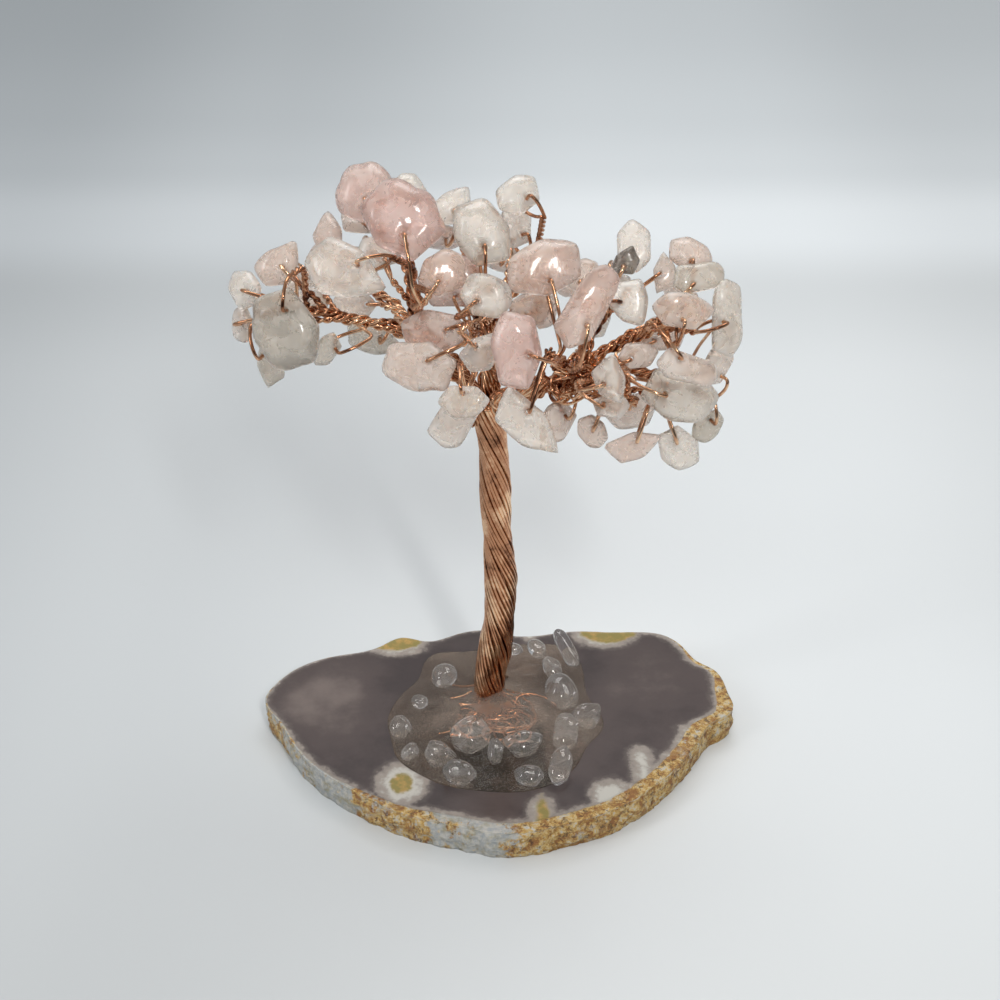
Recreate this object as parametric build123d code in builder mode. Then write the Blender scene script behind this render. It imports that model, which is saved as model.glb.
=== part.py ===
from build123d import *
import os
import numpy as np

# A gemstone tree: a twisted copper wire trunk that stands in a pool of clear resin on a slice of
# agate, and opens into wire limbs, boughs and twigs, each twig hooked through a drilled stone chip.
# Millimetres, +Z up, -Y towards the viewer. The origin is under the trunk, on the slab's underside.

os.makedirs("parts", exist_ok=True)

# Agate slab
slab_width = 73.0
slab_depth = 48.0
slab_thickness = 5.0
slab_shift_share = (0.016, -0.114)

# Trunk: a bundle of wires with a slightly oval section, twisted to the left
trunk_top = 58.0
trunk_broad_radius = 2.0
trunk_narrow_radius = 1.72
trunk_pitch = 29.0
trunk_sway = 1.5
trunk_wire = 0.55
strand_count = 16
trunk_sections = 12
trunk_gap = 0.03
heart_inset_share = 0.9
heart_sides = 10

# Wire of the hooks and the thicker bundles
hook_wire = 0.5
twig_diameter = 1.0
bough_diameter = 1.4
limb_diameter = 2.1
limb_lead_share = 0.6

# Canopy: the space that the stones' middles fill
canopy_width = 70.0
canopy_depth = 40.0
canopy_height = 35.0
canopy_base = 53.0

# Stone chips
stone_length = 10.0
stone_width = 7.0
stone_fullness_share = 0.5
hole_share = 0.5
dangling_hole_share = 0.55
threading_gap = 0.12
hook_lift_gap = 0.3
neck_length = 1.5
twig_straight = 1.2
twig_spacing = 1.35
twig_seat_share = 0.3
twig_back_share = 0.35
twig_bow_share = 0.05
twig_bend_share = 0.45
twig_rooted_share = 0.1
twig_room = 3.2
hook_slope_share = 0.92
stone_gap = 0.5
wire_gap = 0.2
swing_degrees = 15.0

# Resin pool, the roots in it and the clear chips bedded in it
pool_width = 33.0
pool_depth = 38.0
pool_height = 3.3
pool_shift_share = (0.02, -0.05)
root_wire = 0.6
root_reach = 6.4
root_count = 8
root_turn_share = 0.3
root_thinning_share = 0.1
root_rise_shares = (0.6, 0.32)
crystal_rise_share = 1.05
crystal_length = 7.0
crystal_width = 5.0
crystal_fullness_share = 0.62
bed_gap = 0.1

# Outlines, as shares of a stone's length and width about its middle
outline_shares = {
    "pebble": ((0.50, 0.05), (0.30, 0.44), (-0.16, 0.50), (-0.50, 0.18), (-0.36, -0.36), (0.22, -0.50)),
    "round": ((0.50, 0.00), (0.33, 0.40), (-0.08, 0.50), (-0.44, 0.28), (-0.46, -0.22), (-0.10, -0.50),
              (0.36, -0.36)),
    "kite": ((0.50, -0.08), (0.12, 0.40), (-0.30, 0.50), (-0.50, 0.00), (-0.24, -0.46), (0.16, -0.40)),
    "slab": ((0.50, 0.22), (0.12, 0.50), (-0.42, 0.36), (-0.50, -0.22), (-0.06, -0.50), (0.40, -0.38)),
    "wedge": ((0.50, -0.14), (0.10, 0.40), (-0.50, 0.50), (-0.42, -0.34), (0.06, -0.50)),
    "bar": ((0.50, 0.10), (0.34, 0.46), (-0.38, 0.50), (-0.50, -0.12), (-0.30, -0.50), (0.40, -0.42)),
    "bean": ((0.50, 0.00), (0.24, 0.42), (-0.26, 0.50), (-0.50, 0.06), (-0.28, -0.42), (0.20, -0.50)),
}

# A tumbled chip in section: height and size, from its back face to its front face
layer_shares = ((-0.50, 0.60), (-0.24, 1.0), (0.16, 1.0), (0.50, 0.64))

# Slab outline, shares of its width and depth about its middle
slab_outline_shares = (
    (0.498, 0.13), (0.484, 0.05), (0.455, 0.02), (0.417, -0.07), (0.369, -0.19), (0.313, -0.29),
    (0.240, -0.385), (0.150, -0.450), (0.080, -0.485), (0.003, -0.500), (-0.075, -0.470), (-0.153, -0.435),
    (-0.224, -0.385), (-0.297, -0.305), (-0.360, -0.225), (-0.418, -0.115), (-0.468, 0.03), (-0.500, 0.13),
    (-0.485, 0.20), (-0.449, 0.28), (-0.356, 0.36), (-0.264, 0.410), (-0.217, 0.460), (-0.163, 0.440),
    (-0.086, 0.485), (-0.030, 0.500), (0.036, 0.470), (0.169, 0.495), (0.258, 0.490), (0.369, 0.475),
    (0.409, 0.410), (0.437, 0.33), (0.473, 0.28), (0.490, 0.20),
)
slab_layer_shares = ((0.0, 0.975), (0.30, 1.0), (1.0, 0.985))

# Trunk axis: share of its height and of its sway
trunk_axis_shares = ((0.0, -0.2), (0.06, -0.25), (0.14, 0.1), (0.22, 0.65), (0.36, 1.0), (0.48, 1.0),
                     (0.58, 0.67), (0.75, 0.45), (0.87, 0.4), (1.0, -0.25))

# Resin pool outline, shares of its width and depth about its middle, and its dome
pool_outline_shares = (
    (0.50, -0.05), (0.42, 0.12), (0.44, 0.30), (0.34, 0.46), (0.12, 0.44), (-0.10, 0.40), (-0.30, 0.38),
    (-0.38, 0.18), (-0.50, -0.02), (-0.48, -0.24), (-0.36, -0.40), (-0.16, -0.48), (0.10, -0.50),
    (0.30, -0.44), (0.42, -0.26),
)
dome_shares = ((0.0, 1.0), (0.28, 0.94), (0.68, 0.68), (1.0, 0.30))

# Limbs and boughs: points in shares of the canopy's width, depth and height
limb_routes_shares = {
    "left": ((-0.05, 0.00, 0.26), (-0.13, 0.02, 0.42)),
    "centre": ((0.00, 0.06, 0.27), (-0.01, 0.10, 0.39)),
    "right": ((0.055, -0.01, 0.20), (0.12, -0.04, 0.25), (0.17, -0.05, 0.32)),
}
bough_routes_shares = {
    "left_outer": ("left", ((-0.21, 0.01, 0.49), (-0.31, 0.03, 0.51), (-0.40, 0.03, 0.53))),
    "left_back": ("left", ((-0.18, 0.15, 0.46), (-0.26, 0.30, 0.51))),
    "left_top": ("left", ((-0.145, 0.07, 0.58), (-0.165, 0.14, 0.74))),
    "centre_top": ("centre", ((-0.03, 0.17, 0.53), (-0.035, 0.21, 0.70))),
    "centre_back": ("centre", ((0.035, 0.22, 0.49), (0.09, 0.26, 0.60), (0.10, 0.20, 0.70))),
    "centre_front": ("centre", ((-0.02, -0.03, 0.46), (-0.045, -0.22, 0.44))),
    "right_low": ("right", ((0.225, -0.10, 0.27), (0.285, -0.12, 0.22))),
    "right_front": ("right", ((0.14, -0.16, 0.41), (0.11, -0.24, 0.52))),
    "right_inner": ("right", ((0.205, 0.05, 0.47), (0.255, 0.08, 0.56))),
    "right_outer": ("right", ((0.27, -0.01, 0.44), (0.355, 0.00, 0.52), (0.40, 0.01, 0.54))),
    "right_back": ("right", ((0.24, 0.06, 0.30), (0.33, 0.05, 0.22), (0.40, 0.06, 0.20))),
}

# Stones on each bough: place in shares of the canopy, length and width in shares of a stone's, then
# the way the face looks (turn to the right, lift upwards) and the roll of the long axis, in degrees
stones_shares = {
    "left_outer": (
        (-0.400, 0.08, 0.69, 0.70, 0.80, -20, 40, 72, "kite"),
        (-0.470, 0.05, 0.61, 0.62, 0.66, -45, 30, -18, "pebble"),
        (-0.485, 0.10, 0.43, 0.52, 0.58, -55, 10, 85, "pebble"),
        (-0.380, -0.20, 0.59, 1.04, 1.20, -12, 25, -58, "slab"),
        (-0.310, -0.08, 0.43, 0.52, 0.46, 20, -5, 62, "pebble"),
        (-0.350, 0.17, 0.50, 0.58, 0.63, -10, 30, 30, "bean"),
        (-0.380, 0.37, 0.44, 0.65, 0.72, -150, 25, 30, "pebble"),
    ),
    "left_back": (
        (-0.275, 0.35, 0.37, 0.64, 0.67, 5, 25, 0, "bean"),
        (-0.230, 0.22, 0.29, 0.80, 0.68, 0, -10, -12, "wedge"),
        (-0.310, 0.30, 0.70, 0.58, 0.67, -40, 35, -20, "wedge"),
        (-0.340, 0.38, 0.56, 0.62, 0.64, -60, 30, 60, "pebble"),
        (-0.260, 0.49, 0.50, 0.66, 0.70, -170, 35, 70, "wedge"),
    ),
    "left_top": (
        (-0.230, -0.15, 0.82, 1.10, 1.07, -8, 42, -12, "kite"),
        (-0.240, 0.20, 0.94, 0.83, 1.10, -20, 40, 80, "round"),
        (-0.160, 0.35, 0.87, 0.55, 0.63, 20, 50, 50, "pebble"),
        (-0.145, 0.00, 0.89, 1.07, 1.34, 5, 38, -40, "slab"),
        (-0.260, 0.33, 0.76, 0.60, 0.63, -30, 45, 20, "pebble"),
        (-0.095, -0.08, 0.77, 0.65, 0.80, 10, 35, 30, "pebble"),
        (-0.190, 0.16, 0.70, 0.64, 0.66, 10, 30, 20, "bean"),
    ),
    "centre_top": (
        (-0.070, 0.25, 0.86, 0.62, 0.73, -5, 45, 62, "kite"),
        (-0.015, 0.05, 0.85, 0.92, 1.00, 10, 40, -68, "slab"),
        (-0.068, 0.08, 0.61, 0.90, 0.98, -10, 20, 15, "pebble"),
        (0.005, -0.15, 0.69, 0.68, 0.81, 0, 30, -22, "round"),
        (-0.100, 0.47, 0.61, 0.71, 0.77, -175, 40, 40, "pebble"),
    ),
    "centre_back": (
        (0.055, 0.12, 0.97, 0.66, 0.71, 20, 45, 35, "bean"),
        (0.055, 0.26, 0.77, 0.63, 0.66, 35, 30, 76, "pebble"),
        (0.080, 0.10, 0.50, 0.63, 0.67, 15, 15, 0, "pebble"),
        (0.020, 0.50, 0.50, 0.69, 0.77, 170, 30, 20, "kite"),
        (0.150, 0.44, 0.44, 0.66, 0.70, 160, 20, 60, "wedge"),
        (0.110, 0.16, 0.46, 0.56, 0.52, 10, 20, 80, "pebble"),
    ),
    "centre_front": (
        (-0.070, -0.12, 0.54, 0.90, 0.82, -12, 25, 0, "pebble"),
        (-0.135, -0.22, 0.46, 0.97, 0.93, -18, 20, 0, "slab"),
        (-0.025, -0.33, 0.56, 0.59, 0.66, -5, 25, 62, "kite"),
        (-0.035, -0.41, 0.44, 0.66, 0.61, -8, 30, 8, "bean"),
    ),
    "right_low": (
        (0.135, -0.10, 0.13, 0.68, 0.66, 18, 0, 72, "pebble"),
        (0.235, -0.22, 0.29, 0.48, 0.49, 0, 10, 0, "pebble"),
        (0.225, -0.36, 0.47, 0.57, 0.63, -5, 25, -52, "wedge"),
        (0.280, 0.00, 0.10, 0.72, 0.71, -5, 5, 20, "pebble"),
        (0.205, -0.13, 0.11, 0.51, 0.57, -12, 0, -60, "round"),
    ),
    "right_front": (
        (0.050, -0.44, 0.65, 0.95, 0.89, 8, 24, 90, "slab"),
        (0.180, -0.28, 0.73, 1.14, 0.69, 8, 30, 55, "bar"),
        (0.090, -0.08, 0.77, 0.99, 1.00, 8, 34, 15, "slab"),
    ),
    "right_inner": (
        (0.265, -0.12, 0.65, 0.63, 0.79, 5, 32, -58, "kite"),
        (0.260, 0.06, 0.73, 0.40, 0.50, 0, 30, 80, "wedge"),
        (0.280, 0.19, 0.72, 0.73, 0.70, -5, 42, 100, "bean"),
        (0.180, 0.12, 0.63, 0.51, 0.59, -15, 40, 45, "pebble"),
        (0.215, 0.22, 0.37, 0.50, 0.47, -10, 10, 80, "pebble"),
        (0.340, 0.19, 0.61, 0.52, 0.47, 5, 35, 100, "wedge"),
        (0.250, 0.46, 0.40, 0.65, 0.70, 170, 30, 20, "bean"),
    ),
    "right_outer": (
        (0.385, 0.12, 0.72, 0.62, 0.66, 15, 42, -30, "pebble"),
        (0.400, -0.03, 0.70, 0.71, 0.53, 12, 38, 4, "bar"),
        (0.355, -0.20, 0.66, 0.80, 0.67, 8, 26, -5, "bean"),
        (0.445, -0.08, 0.56, 1.02, 0.62, 30, 20, 80, "bar"),
        (0.370, -0.29, 0.49, 0.80, 0.52, 10, 25, -22, "bar"),
        (0.390, 0.42, 0.38, 0.63, 0.70, 140, 25, -40, "pebble"),
    ),
    "right_back": (
        (0.340, 0.12, 0.37, 0.69, 0.71, 10, 20, 10, "pebble"),
        (0.285, -0.06, 0.40, 0.54, 0.50, 0, 25, 12, "bean"),
        (0.440, -0.07, 0.36, 0.62, 0.61, 35, 5, 60, "pebble"),
        (0.350, -0.17, 0.28, 0.99, 0.99, 8, 12, -20, "slab"),
        (0.485, 0.33, 0.31, 0.43, 0.46, 60, 20, 0, "kite"),
    ),
}

# Stones that dangle: the same, and then the way from the middle to the hook, in degrees
dangling_shares = {
    "dangle_left": ("left_outer", (-0.425, -0.08, 0.37, 0.62, 0.54, -15, 5, 118, "wedge", 118)),
    "dangle_front_left": ("centre_front", (-0.070, -0.28, 0.25, 0.90, 0.71, -14, 8, 62, "bar", 70)),
    "dangle_front": ("right_front", (0.077, -0.31, 0.25, 1.08, 0.83, 4, 25, -36, "wedge", 95)),
    "dangle_right_inner": ("right_low", (0.285, -0.20, 0.10, 0.78, 0.60, -6, 12, 33, "wedge", 75)),
    "dangle_right_middle": ("right_back", (0.370, -0.13, 0.02, 0.69, 0.78, 4, 8, -52, "slab", 108)),
    "dangle_right_end": ("right_back", (0.430, -0.03, 0.05, 0.55, 0.62, 20, 0, 60, "round", 85)),
}

# Clear chips on the pool: place in shares of its width and depth about the trunk, then as above
crystals_shares = {
    "crystals_left": (
        (-0.41, -0.20, 0.50, 0.66, -20, 55, 80, "pebble"),
        (-0.33, -0.07, 0.40, 0.44, -40, 60, 10, "round"),
        (-0.36, -0.34, 0.44, 0.46, -10, 60, 60, "pebble"),
        (-0.22, -0.38, 0.68, 0.86, -10, 62, 10, "kite"),
        (-0.22, 0.08, 0.60, 0.80, -60, 62, 40, "round"),
    ),
    "crystals_front": (
        (-0.09, -0.29, 0.86, 1.14, 0, 60, 20, "round"),
        (-0.14, -0.47, 0.74, 0.76, -5, 66, 0, "bean"),
        (0.03, -0.37, 0.58, 0.48, 10, 56, 80, "pebble"),
        (0.15, -0.33, 0.80, 0.84, 10, 60, 24, "wedge"),
        (0.17, -0.49, 0.62, 0.68, 10, 66, -10, "pebble"),
        (0.31, -0.44, 0.98, 0.66, 20, 62, 62, "bean"),
    ),
    "crystals_right": (
        (0.35, -0.25, 0.86, 0.74, 30, 56, 58, "bar"),
        (0.44, -0.14, 0.74, 0.84, 50, 58, 10, "kite"),
        (0.33, -0.02, 0.90, 1.00, 40, 56, 80, "round"),
        (0.29, 0.14, 0.60, 0.60, 60, 56, 60, "pebble"),
        (0.36, 0.27, 0.98, 0.50, 50, 50, 80, "bar"),
        (0.22, 0.29, 0.56, 0.62, 100, 56, 0, "pebble"),
        (0.08, 0.27, 0.66, 0.56, 170, 60, 10, "bean"),
    ),
}

wire_sides = 5
twig_sides = 4
hook_sides = 4
bore_sides = 4
bundle_sides = 6
route_samples = 60
settle_rounds = 600
settle_refresh = 8
settle_pull_share = 0.015
settle_step_share = 0.6
settle_margin_share = 1.5
up = np.array((0.0, 0.0, 1.0))


# Directions and lengths
def unit(vectors):
    return vectors / np.maximum(np.linalg.norm(vectors, axis=-1, keepdims=True), 1e-9)


def dots(first, second):
    return np.einsum("pk,pk->p", first, second)


def stone_axes(turn, lift, roll):
    turn, lift, roll = np.radians((turn, lift, roll))
    normal = np.array((np.sin(turn) * np.cos(lift), -np.cos(turn) * np.cos(lift), np.sin(lift)))
    level = unit(np.cross(up, normal))
    rise = np.cross(normal, level)
    along = np.cos(roll) * level + np.sin(roll) * rise
    return along, np.cross(normal, along), normal


# A stone chip: its outline, its place, and the twig that holds it
class Stone:
    def __init__(self, shares, middle, length, width, fullness_share):
        length_share, width_share, turn, lift, roll, kind = shares
        self.along, self.across, self.normal = stone_axes(turn, lift, roll)
        self.size = np.array((length_share * length, width_share * width))
        self.thickness = fullness_share * self.size.min()
        self.outline = np.array(outline_shares[kind]) * self.size
        self.home = np.array(middle, float)
        self.middle = self.home.copy()
        self.hook_way = None
        self.hole = np.zeros(3)
        self.reach = 0.0
        self.swing = 0.0
        self.bend = None

    # Distance from the middle to the rim, along a direction in the stone's own plane
    def rim_distance(self, way):
        ends = np.roll(self.outline, -1, axis=0)
        edges = ends - self.outline
        cross = edges[:, 0] * way[1] - edges[:, 1] * way[0]
        cross[np.abs(cross) < 1e-9] = 1e-9
        ahead = (edges[:, 0] * self.outline[:, 1] - edges[:, 1] * self.outline[:, 0]) / cross
        beside = (way[0] * self.outline[:, 1] - way[1] * self.outline[:, 0]) / cross
        hits = ahead[(ahead > 0) & (beside >= -1e-6) & (beside <= 1 + 1e-6)]
        return hits.min()

    # The hook comes in from the given side: where the hole is, and how far off the neck starts
    def hang(self, way, hole_share, swing):
        flat = unit(np.array((way @ self.along, way @ self.across)))
        self.hook_way = flat[0] * self.along + flat[1] * self.across
        hole = flat * self.rim_distance(flat) * hole_share
        self.hole = hole[0] * self.along + hole[1] * self.across
        self.swing = swing
        from_hole = self.outline - hole
        ahead = from_hole @ flat
        if swing > 0:
            ahead = np.linalg.norm(from_hole, axis=1)[ahead > 0]
        self.reach = ahead.max() + hook_wire / 2 + wire_gap

    def corners(self, angle=0.0):
        turned = np.radians(angle)
        hole = np.array((self.hole @ self.along, self.hole @ self.across))
        spin = np.array(((np.cos(turned), -np.sin(turned)), (np.sin(turned), np.cos(turned))))
        rings = []
        for height_share, size_share in layer_shares:
            flat = (self.outline * size_share - hole) @ spin.T + hole
            ring = flat[:, :1] * self.along + flat[:, 1:] * self.across
            rings.append(ring + self.normal * height_share * self.thickness)
        return np.array(rings)

    # Outward directions of all flat faces
    def faces(self):
        rings = self.corners()
        ways = [self.normal, -self.normal]
        for lower, upper in zip(rings[:-1], rings[1:]):
            edge = np.roll(lower, -1, axis=0) - lower
            ways.extend(unit(np.cross(edge, upper - lower)))
        return np.array(ways)

    # The hook's wire, from the twig's end over one face, through the hole and back over the other
    def hook_points(self):
        hole = self.middle + self.hole
        lift = self.thickness / 2 + hook_wire / 2 + hook_lift_gap
        spread = hook_wire / 2 + trunk_gap
        start = hole + self.hook_way * (self.reach + neck_length + hook_wire / 2)
        shoulder = hole + self.hook_way * self.reach
        sloped = self.normal * lift * hook_slope_share
        return [start + self.normal * spread, shoulder + sloped, hole + self.normal * lift,
                hole - self.normal * lift, shoulder - sloped, start - self.normal * spread]

    # The twig's end, where the hook's two legs leave it
    def twig_end(self):
        return self.middle + self.hole + self.hook_way * (self.reach + neck_length)


# Gaps and the ways that widen them
def stone_pair_gaps(corners, faces, middles, first, second):
    ways = np.concatenate((faces[first], -faces[second], unit(middles[second] - middles[first])[:, None]), 1)
    far_first = np.einsum("pvk,pdk->pdv", corners[first], ways).max(axis=2)
    near_second = np.einsum("pvk,pdk->pdv", corners[second], ways).min(axis=2)
    gaps = near_second - far_first
    best = gaps.argmax(axis=1)
    rows = np.arange(len(first))
    return gaps[rows, best], ways[rows, best]


def stone_wire_gaps(corners, faces, middles, stones, starts, ends, radii):
    run = ends - starts
    part = np.clip(dots(middles[stones] - starts, run) / np.maximum(dots(run, run), 1e-9), 0, 1)
    nearest = starts + run * part[:, None]
    ways = np.concatenate((faces[stones], unit(nearest - middles[stones])[:, None]), axis=1)
    far_stone = np.einsum("pvk,pdk->pdv", corners[stones], ways).max(axis=2)
    near_wire = np.minimum(np.einsum("pk,pdk->pd", starts, ways), np.einsum("pk,pdk->pd", ends, ways))
    gaps = near_wire - far_stone - radii[:, None]
    best = gaps.argmax(axis=1)
    rows = np.arange(len(stones))
    return gaps[rows, best], ways[rows, best]


def wire_pair_gaps(start_a, end_a, start_b, end_b, radii):
    run_a = end_a - start_a
    run_b = end_b - start_b
    offset = start_a - start_b
    aa = np.maximum(dots(run_a, run_a), 1e-9)
    bb = np.maximum(dots(run_b, run_b), 1e-9)
    ab = dots(run_a, run_b)
    ao = dots(run_a, offset)
    bo = dots(run_b, offset)
    along_a = np.clip((ab * bo - bb * ao) / np.maximum(aa * bb - ab * ab, 1e-6), 0, 1)
    along_b = np.clip((ab * along_a + bo) / bb, 0, 1)
    along_a = np.clip((ab * along_b - ao) / aa, 0, 1)
    between = start_b + run_b * along_b[:, None] - start_a - run_a * along_a[:, None]
    return np.linalg.norm(between, axis=1) - radii, unit(between)


# Stones, the twigs that hold them and the fixed wires between them. By small steps, stones and the
# bends of their twigs shift until nothing touches, while a weak pull keeps them where they belong.
class Crowd:
    def __init__(self, stones, fixed, roots=None, carriers=None, floor=None):
        self.stones = stones
        self.roots = roots
        self.floor = floor
        self.count = len(stones)
        self.homes = np.array([stone.home for stone in stones])
        self.middles = self.homes.copy()
        self.make_shapes()
        self.fixed_starts = np.array([run[0] for run in fixed])
        self.fixed_ends = np.array([run[1] for run in fixed])
        kinds = []
        if roots is not None:
            kinds = [(0, twig_diameter), (1, twig_diameter)] + [(2, hook_wire)] * 4
            self.ways_in = np.array([stone.hook_way for stone in stones])
            self.make_patterns()
            self.bends = self.relaxed_bends()
        unowned = np.full(len(fixed), -1)
        own_radii = [np.full(self.count, diameter / 2) for _, diameter in kinds]
        own_kinds = [np.full(self.count, kind) for kind, _ in kinds]
        self.radii = np.concatenate([[run[2] for run in fixed]] + own_radii)
        self.owners = np.concatenate([unowned] + [np.arange(self.count) for _ in kinds])
        self.kinds = np.concatenate([unowned] + own_kinds)
        self.bodies = np.concatenate([[run[3] for run in fixed]] + [carriers for _ in kinds])

    # Corners and face directions of each stone about its middle, at rest and at both ends of its swing
    def make_shapes(self):
        sides = max(len(stone.outline) for stone in self.stones)
        face_count = 2 + sides * (len(layer_shares) - 1)
        swings = (-1, 0, 1) if any(stone.swing for stone in self.stones) else (0,)
        shapes = []
        faces = []
        for stone in self.stones:
            rings = [stone.corners(stone.swing * swing) for swing in swings]
            spare = sides - len(stone.outline)
            rings = [np.pad(ring, ((0, 0), (0, spare), (0, 0)), mode="edge") for ring in rings]
            shapes.append(np.concatenate(rings).reshape(-1, 3))
            ways = stone.faces()
            faces.append(np.pad(ways, ((0, face_count - len(ways)), (0, 0)), mode="edge"))
        self.shapes = np.array(shapes)
        self.faces = np.array(faces)
        self.sizes = np.linalg.norm(self.shapes, axis=2).max(axis=1)

    # Each twig's end and hook, about its stone's middle
    def make_patterns(self):
        patterns = []
        for stone in self.stones:
            stone.middle = np.zeros(3)
            patterns.append([stone.twig_end()] + stone.hook_points())
        self.patterns = np.array(patterns)

    # Where a twig bends when nothing is in its way: outside its end, drawn to its root, and bowed up
    def relaxed_bends(self):
        ends = self.middles + self.patterns[:, 0]
        bends = ends + (self.roots - ends) * twig_bend_share
        outside = dots(bends - ends, self.ways_in)
        bends = bends + self.ways_in * np.maximum(twig_straight - outside, 0)[:, None]
        bow = np.linalg.norm(ends - self.roots, axis=1) * twig_bow_share
        return bends + up * bow[:, None]

    def place_wires(self):
        starts = [self.fixed_starts]
        ends = [self.fixed_ends]
        if self.roots is not None:
            points = self.middles[:, None] + self.patterns
            starts += [self.roots + (self.bends - self.roots) * twig_rooted_share, self.bends]
            ends += [self.bends, points[:, 0]]
            for leg in (1, 2, 4, 5):
                starts.append(points[:, leg])
                ends.append(points[:, leg + 1])
        self.starts = np.concatenate(starts)
        self.ends = np.concatenate(ends)

    # Pairs that are near enough to matter for the next few steps
    def find_pairs(self):
        reach = 2 * stone_gap
        first, second = np.triu_indices(self.count, 1)
        away = np.linalg.norm(self.middles[first] - self.middles[second], axis=1)
        close = away < self.sizes[first] + self.sizes[second] + reach
        self.stone_pairs = first[close], second[close]
        centres = (self.starts + self.ends) / 2
        half = np.linalg.norm(self.ends - self.starts, axis=1) / 2 + self.radii
        away = np.linalg.norm(centres[None] - self.middles[:, None], axis=2)
        near = away < self.sizes[:, None] + half[None] + reach
        near &= ~((self.owners[None] == np.arange(self.count)[:, None]) & (self.kinds[None] == 2))
        self.mixed_pairs = np.nonzero(near)
        lines, others = np.triu_indices(len(self.starts) if self.roots is not None else 1, 1)
        keep = self.owners[lines] != self.owners[others]
        rooted = (self.kinds[lines] <= 0) & (self.kinds[others] == 0)
        keep &= ~(rooted & (self.bodies[lines] == self.bodies[others]))
        lines, others = lines[keep], others[keep]
        keep = np.linalg.norm(centres[lines] - centres[others], axis=1) < half[lines] + half[others] + reach
        self.wire_pairs = lines[keep], others[keep]

    # One step; it returns the least gaps between stones, from stones to wires, and between wires
    def step(self, pull):
        self.place_wires()
        shift = (self.homes - self.middles) * pull
        corners = self.shapes + self.middles[:, None]
        least = []

        first, second = self.stone_pairs
        gaps, ways = stone_pair_gaps(corners, self.faces, self.middles, first, second)
        least.append(gaps.min() - stone_gap)
        push = np.maximum(stone_gap - gaps, 0)[:, None] * ways
        np.add.at(shift, first, -push / 2)
        np.add.at(shift, second, push / 2)

        which, wires = self.mixed_pairs
        gaps, ways = stone_wire_gaps(corners, self.faces, self.middles, which, self.starts[wires],
                                     self.ends[wires], self.radii[wires])
        least.append(gaps.min() - wire_gap)
        push = np.maximum(wire_gap * settle_margin_share - gaps, 0)[:, None] * ways
        owners = self.owners[wires]
        kinds = self.kinds[wires]
        np.add.at(shift, which, -push * np.where(owners < 0, 1.0, 0.5)[:, None])
        if self.roots is not None:
            bend_shift = (self.relaxed_bends() - self.bends) * pull * 2
            bending = (kinds == 0) | (kinds == 1)
            np.add.at(bend_shift, owners[bending], push[bending])
            moving = (kinds >= 1) & (owners != which)
            np.add.at(shift, owners[moving], push[moving] / 2)

            lines, others = self.wire_pairs
            gaps, ways = wire_pair_gaps(self.starts[lines], self.ends[lines], self.starts[others],
                                        self.ends[others], self.radii[lines] + self.radii[others])
            least.append(gaps.min() - wire_gap)
            push = np.maximum(wire_gap * settle_margin_share - gaps, 0)[:, None] * ways
            for group, sign in ((lines, -1.0), (others, 1.0)):
                kinds = self.kinds[group]
                bending = (kinds == 0) | (kinds == 1)
                np.add.at(bend_shift, self.owners[group][bending], sign * push[bending])
                np.add.at(shift, self.owners[group][kinds >= 1], sign * push[kinds >= 1] / 2)
            self.bends += np.clip(bend_shift, -twig_diameter / 2, twig_diameter / 2) * settle_step_share
            relaxed = self.relaxed_bends()
            strayed = self.bends - relaxed
            far = np.maximum(np.linalg.norm(strayed, axis=1, keepdims=True), twig_room)
            self.bends = relaxed + strayed * twig_room / far
        if self.floor is not None:
            low = corners[:, :, 2].min(axis=1)
            shift[:, 2] = np.where(low < self.floor, self.floor - low, shift[:, 2] / 2)
        self.middles += np.clip(shift, -stone_gap, stone_gap) * settle_step_share
        return np.array(least)

    def settle(self):
        for turn in range(settle_rounds):
            if turn % settle_refresh == 0:
                self.place_wires()
                self.find_pairs()
            pulled = turn < settle_rounds / 2
            least = self.step(settle_pull_share if pulled else 0.0)
            if not pulled and least.min() > -trunk_gap:
                break
        for index, stone in enumerate(self.stones):
            stone.middle = self.middles[index]
            if self.roots is not None:
                stone.bend = self.bends[index]
        print("settled in", turn + 1, "rounds, gaps beyond those asked for", np.round(least, 3))


# A wire along straight runs with mitred corners
def wire(points, diameter, sides):
    with BuildPart() as piece:
        with BuildLine() as route:
            Polyline(*[tuple(point) for point in points])
        with BuildSketch(Plane(origin=route.line @ 0, z_dir=route.line % 0)):
            RegularPolygon(diameter / 2, sides)
        sweep(transition=Transition.RIGHT)
    return piece.part


# Wires whose ends are coped to fit against another piece; where they meet they are one bundle
def coped_wires(wires, against):
    with BuildPart() as bunch:
        add(wires)
        add(against, mode=Mode.SUBTRACT)
    least = min(piece.volume for piece in wires) / 4
    return [solid for solid in bunch.part.solids() if solid.volume > least]


# A solid with flat faces, from rings of points stacked one on the next
def faceted(rings):
    rings = [[tuple(point) for point in ring] for ring in rings]
    faces = [Face(Wire.make_polygon(rings[0][::-1])), Face(Wire.make_polygon(rings[-1]))]
    for lower, upper in zip(rings[:-1], rings[1:]):
        for index in range(len(lower)):
            after = (index + 1) % len(lower)
            corners = [lower[index], lower[after], upper[after], upper[index]]
            faces.append(Face(Wire.make_polygon(corners)))
    return Solid(Shell(faces))


# A stone chip with its drilled hole
def chip(stone, drilled=True, dangling=False):
    with BuildPart() as piece:
        add(faceted(stone.corners() + stone.middle))
        if drilled:
            mouth = Vector(*(stone.middle + stone.hole))
            radius = hook_wire / 2 + threading_gap
            with BuildSketch(Plane(origin=mouth, x_dir=Vector(*stone.along), z_dir=Vector(*stone.normal))):
                if dangling:
                    Circle(radius)
                else:
                    RegularPolygon(radius, bore_sides, major_radius=False)
            extrude(amount=stone.thickness, both=True, mode=Mode.SUBTRACT)
    return piece.part


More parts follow.
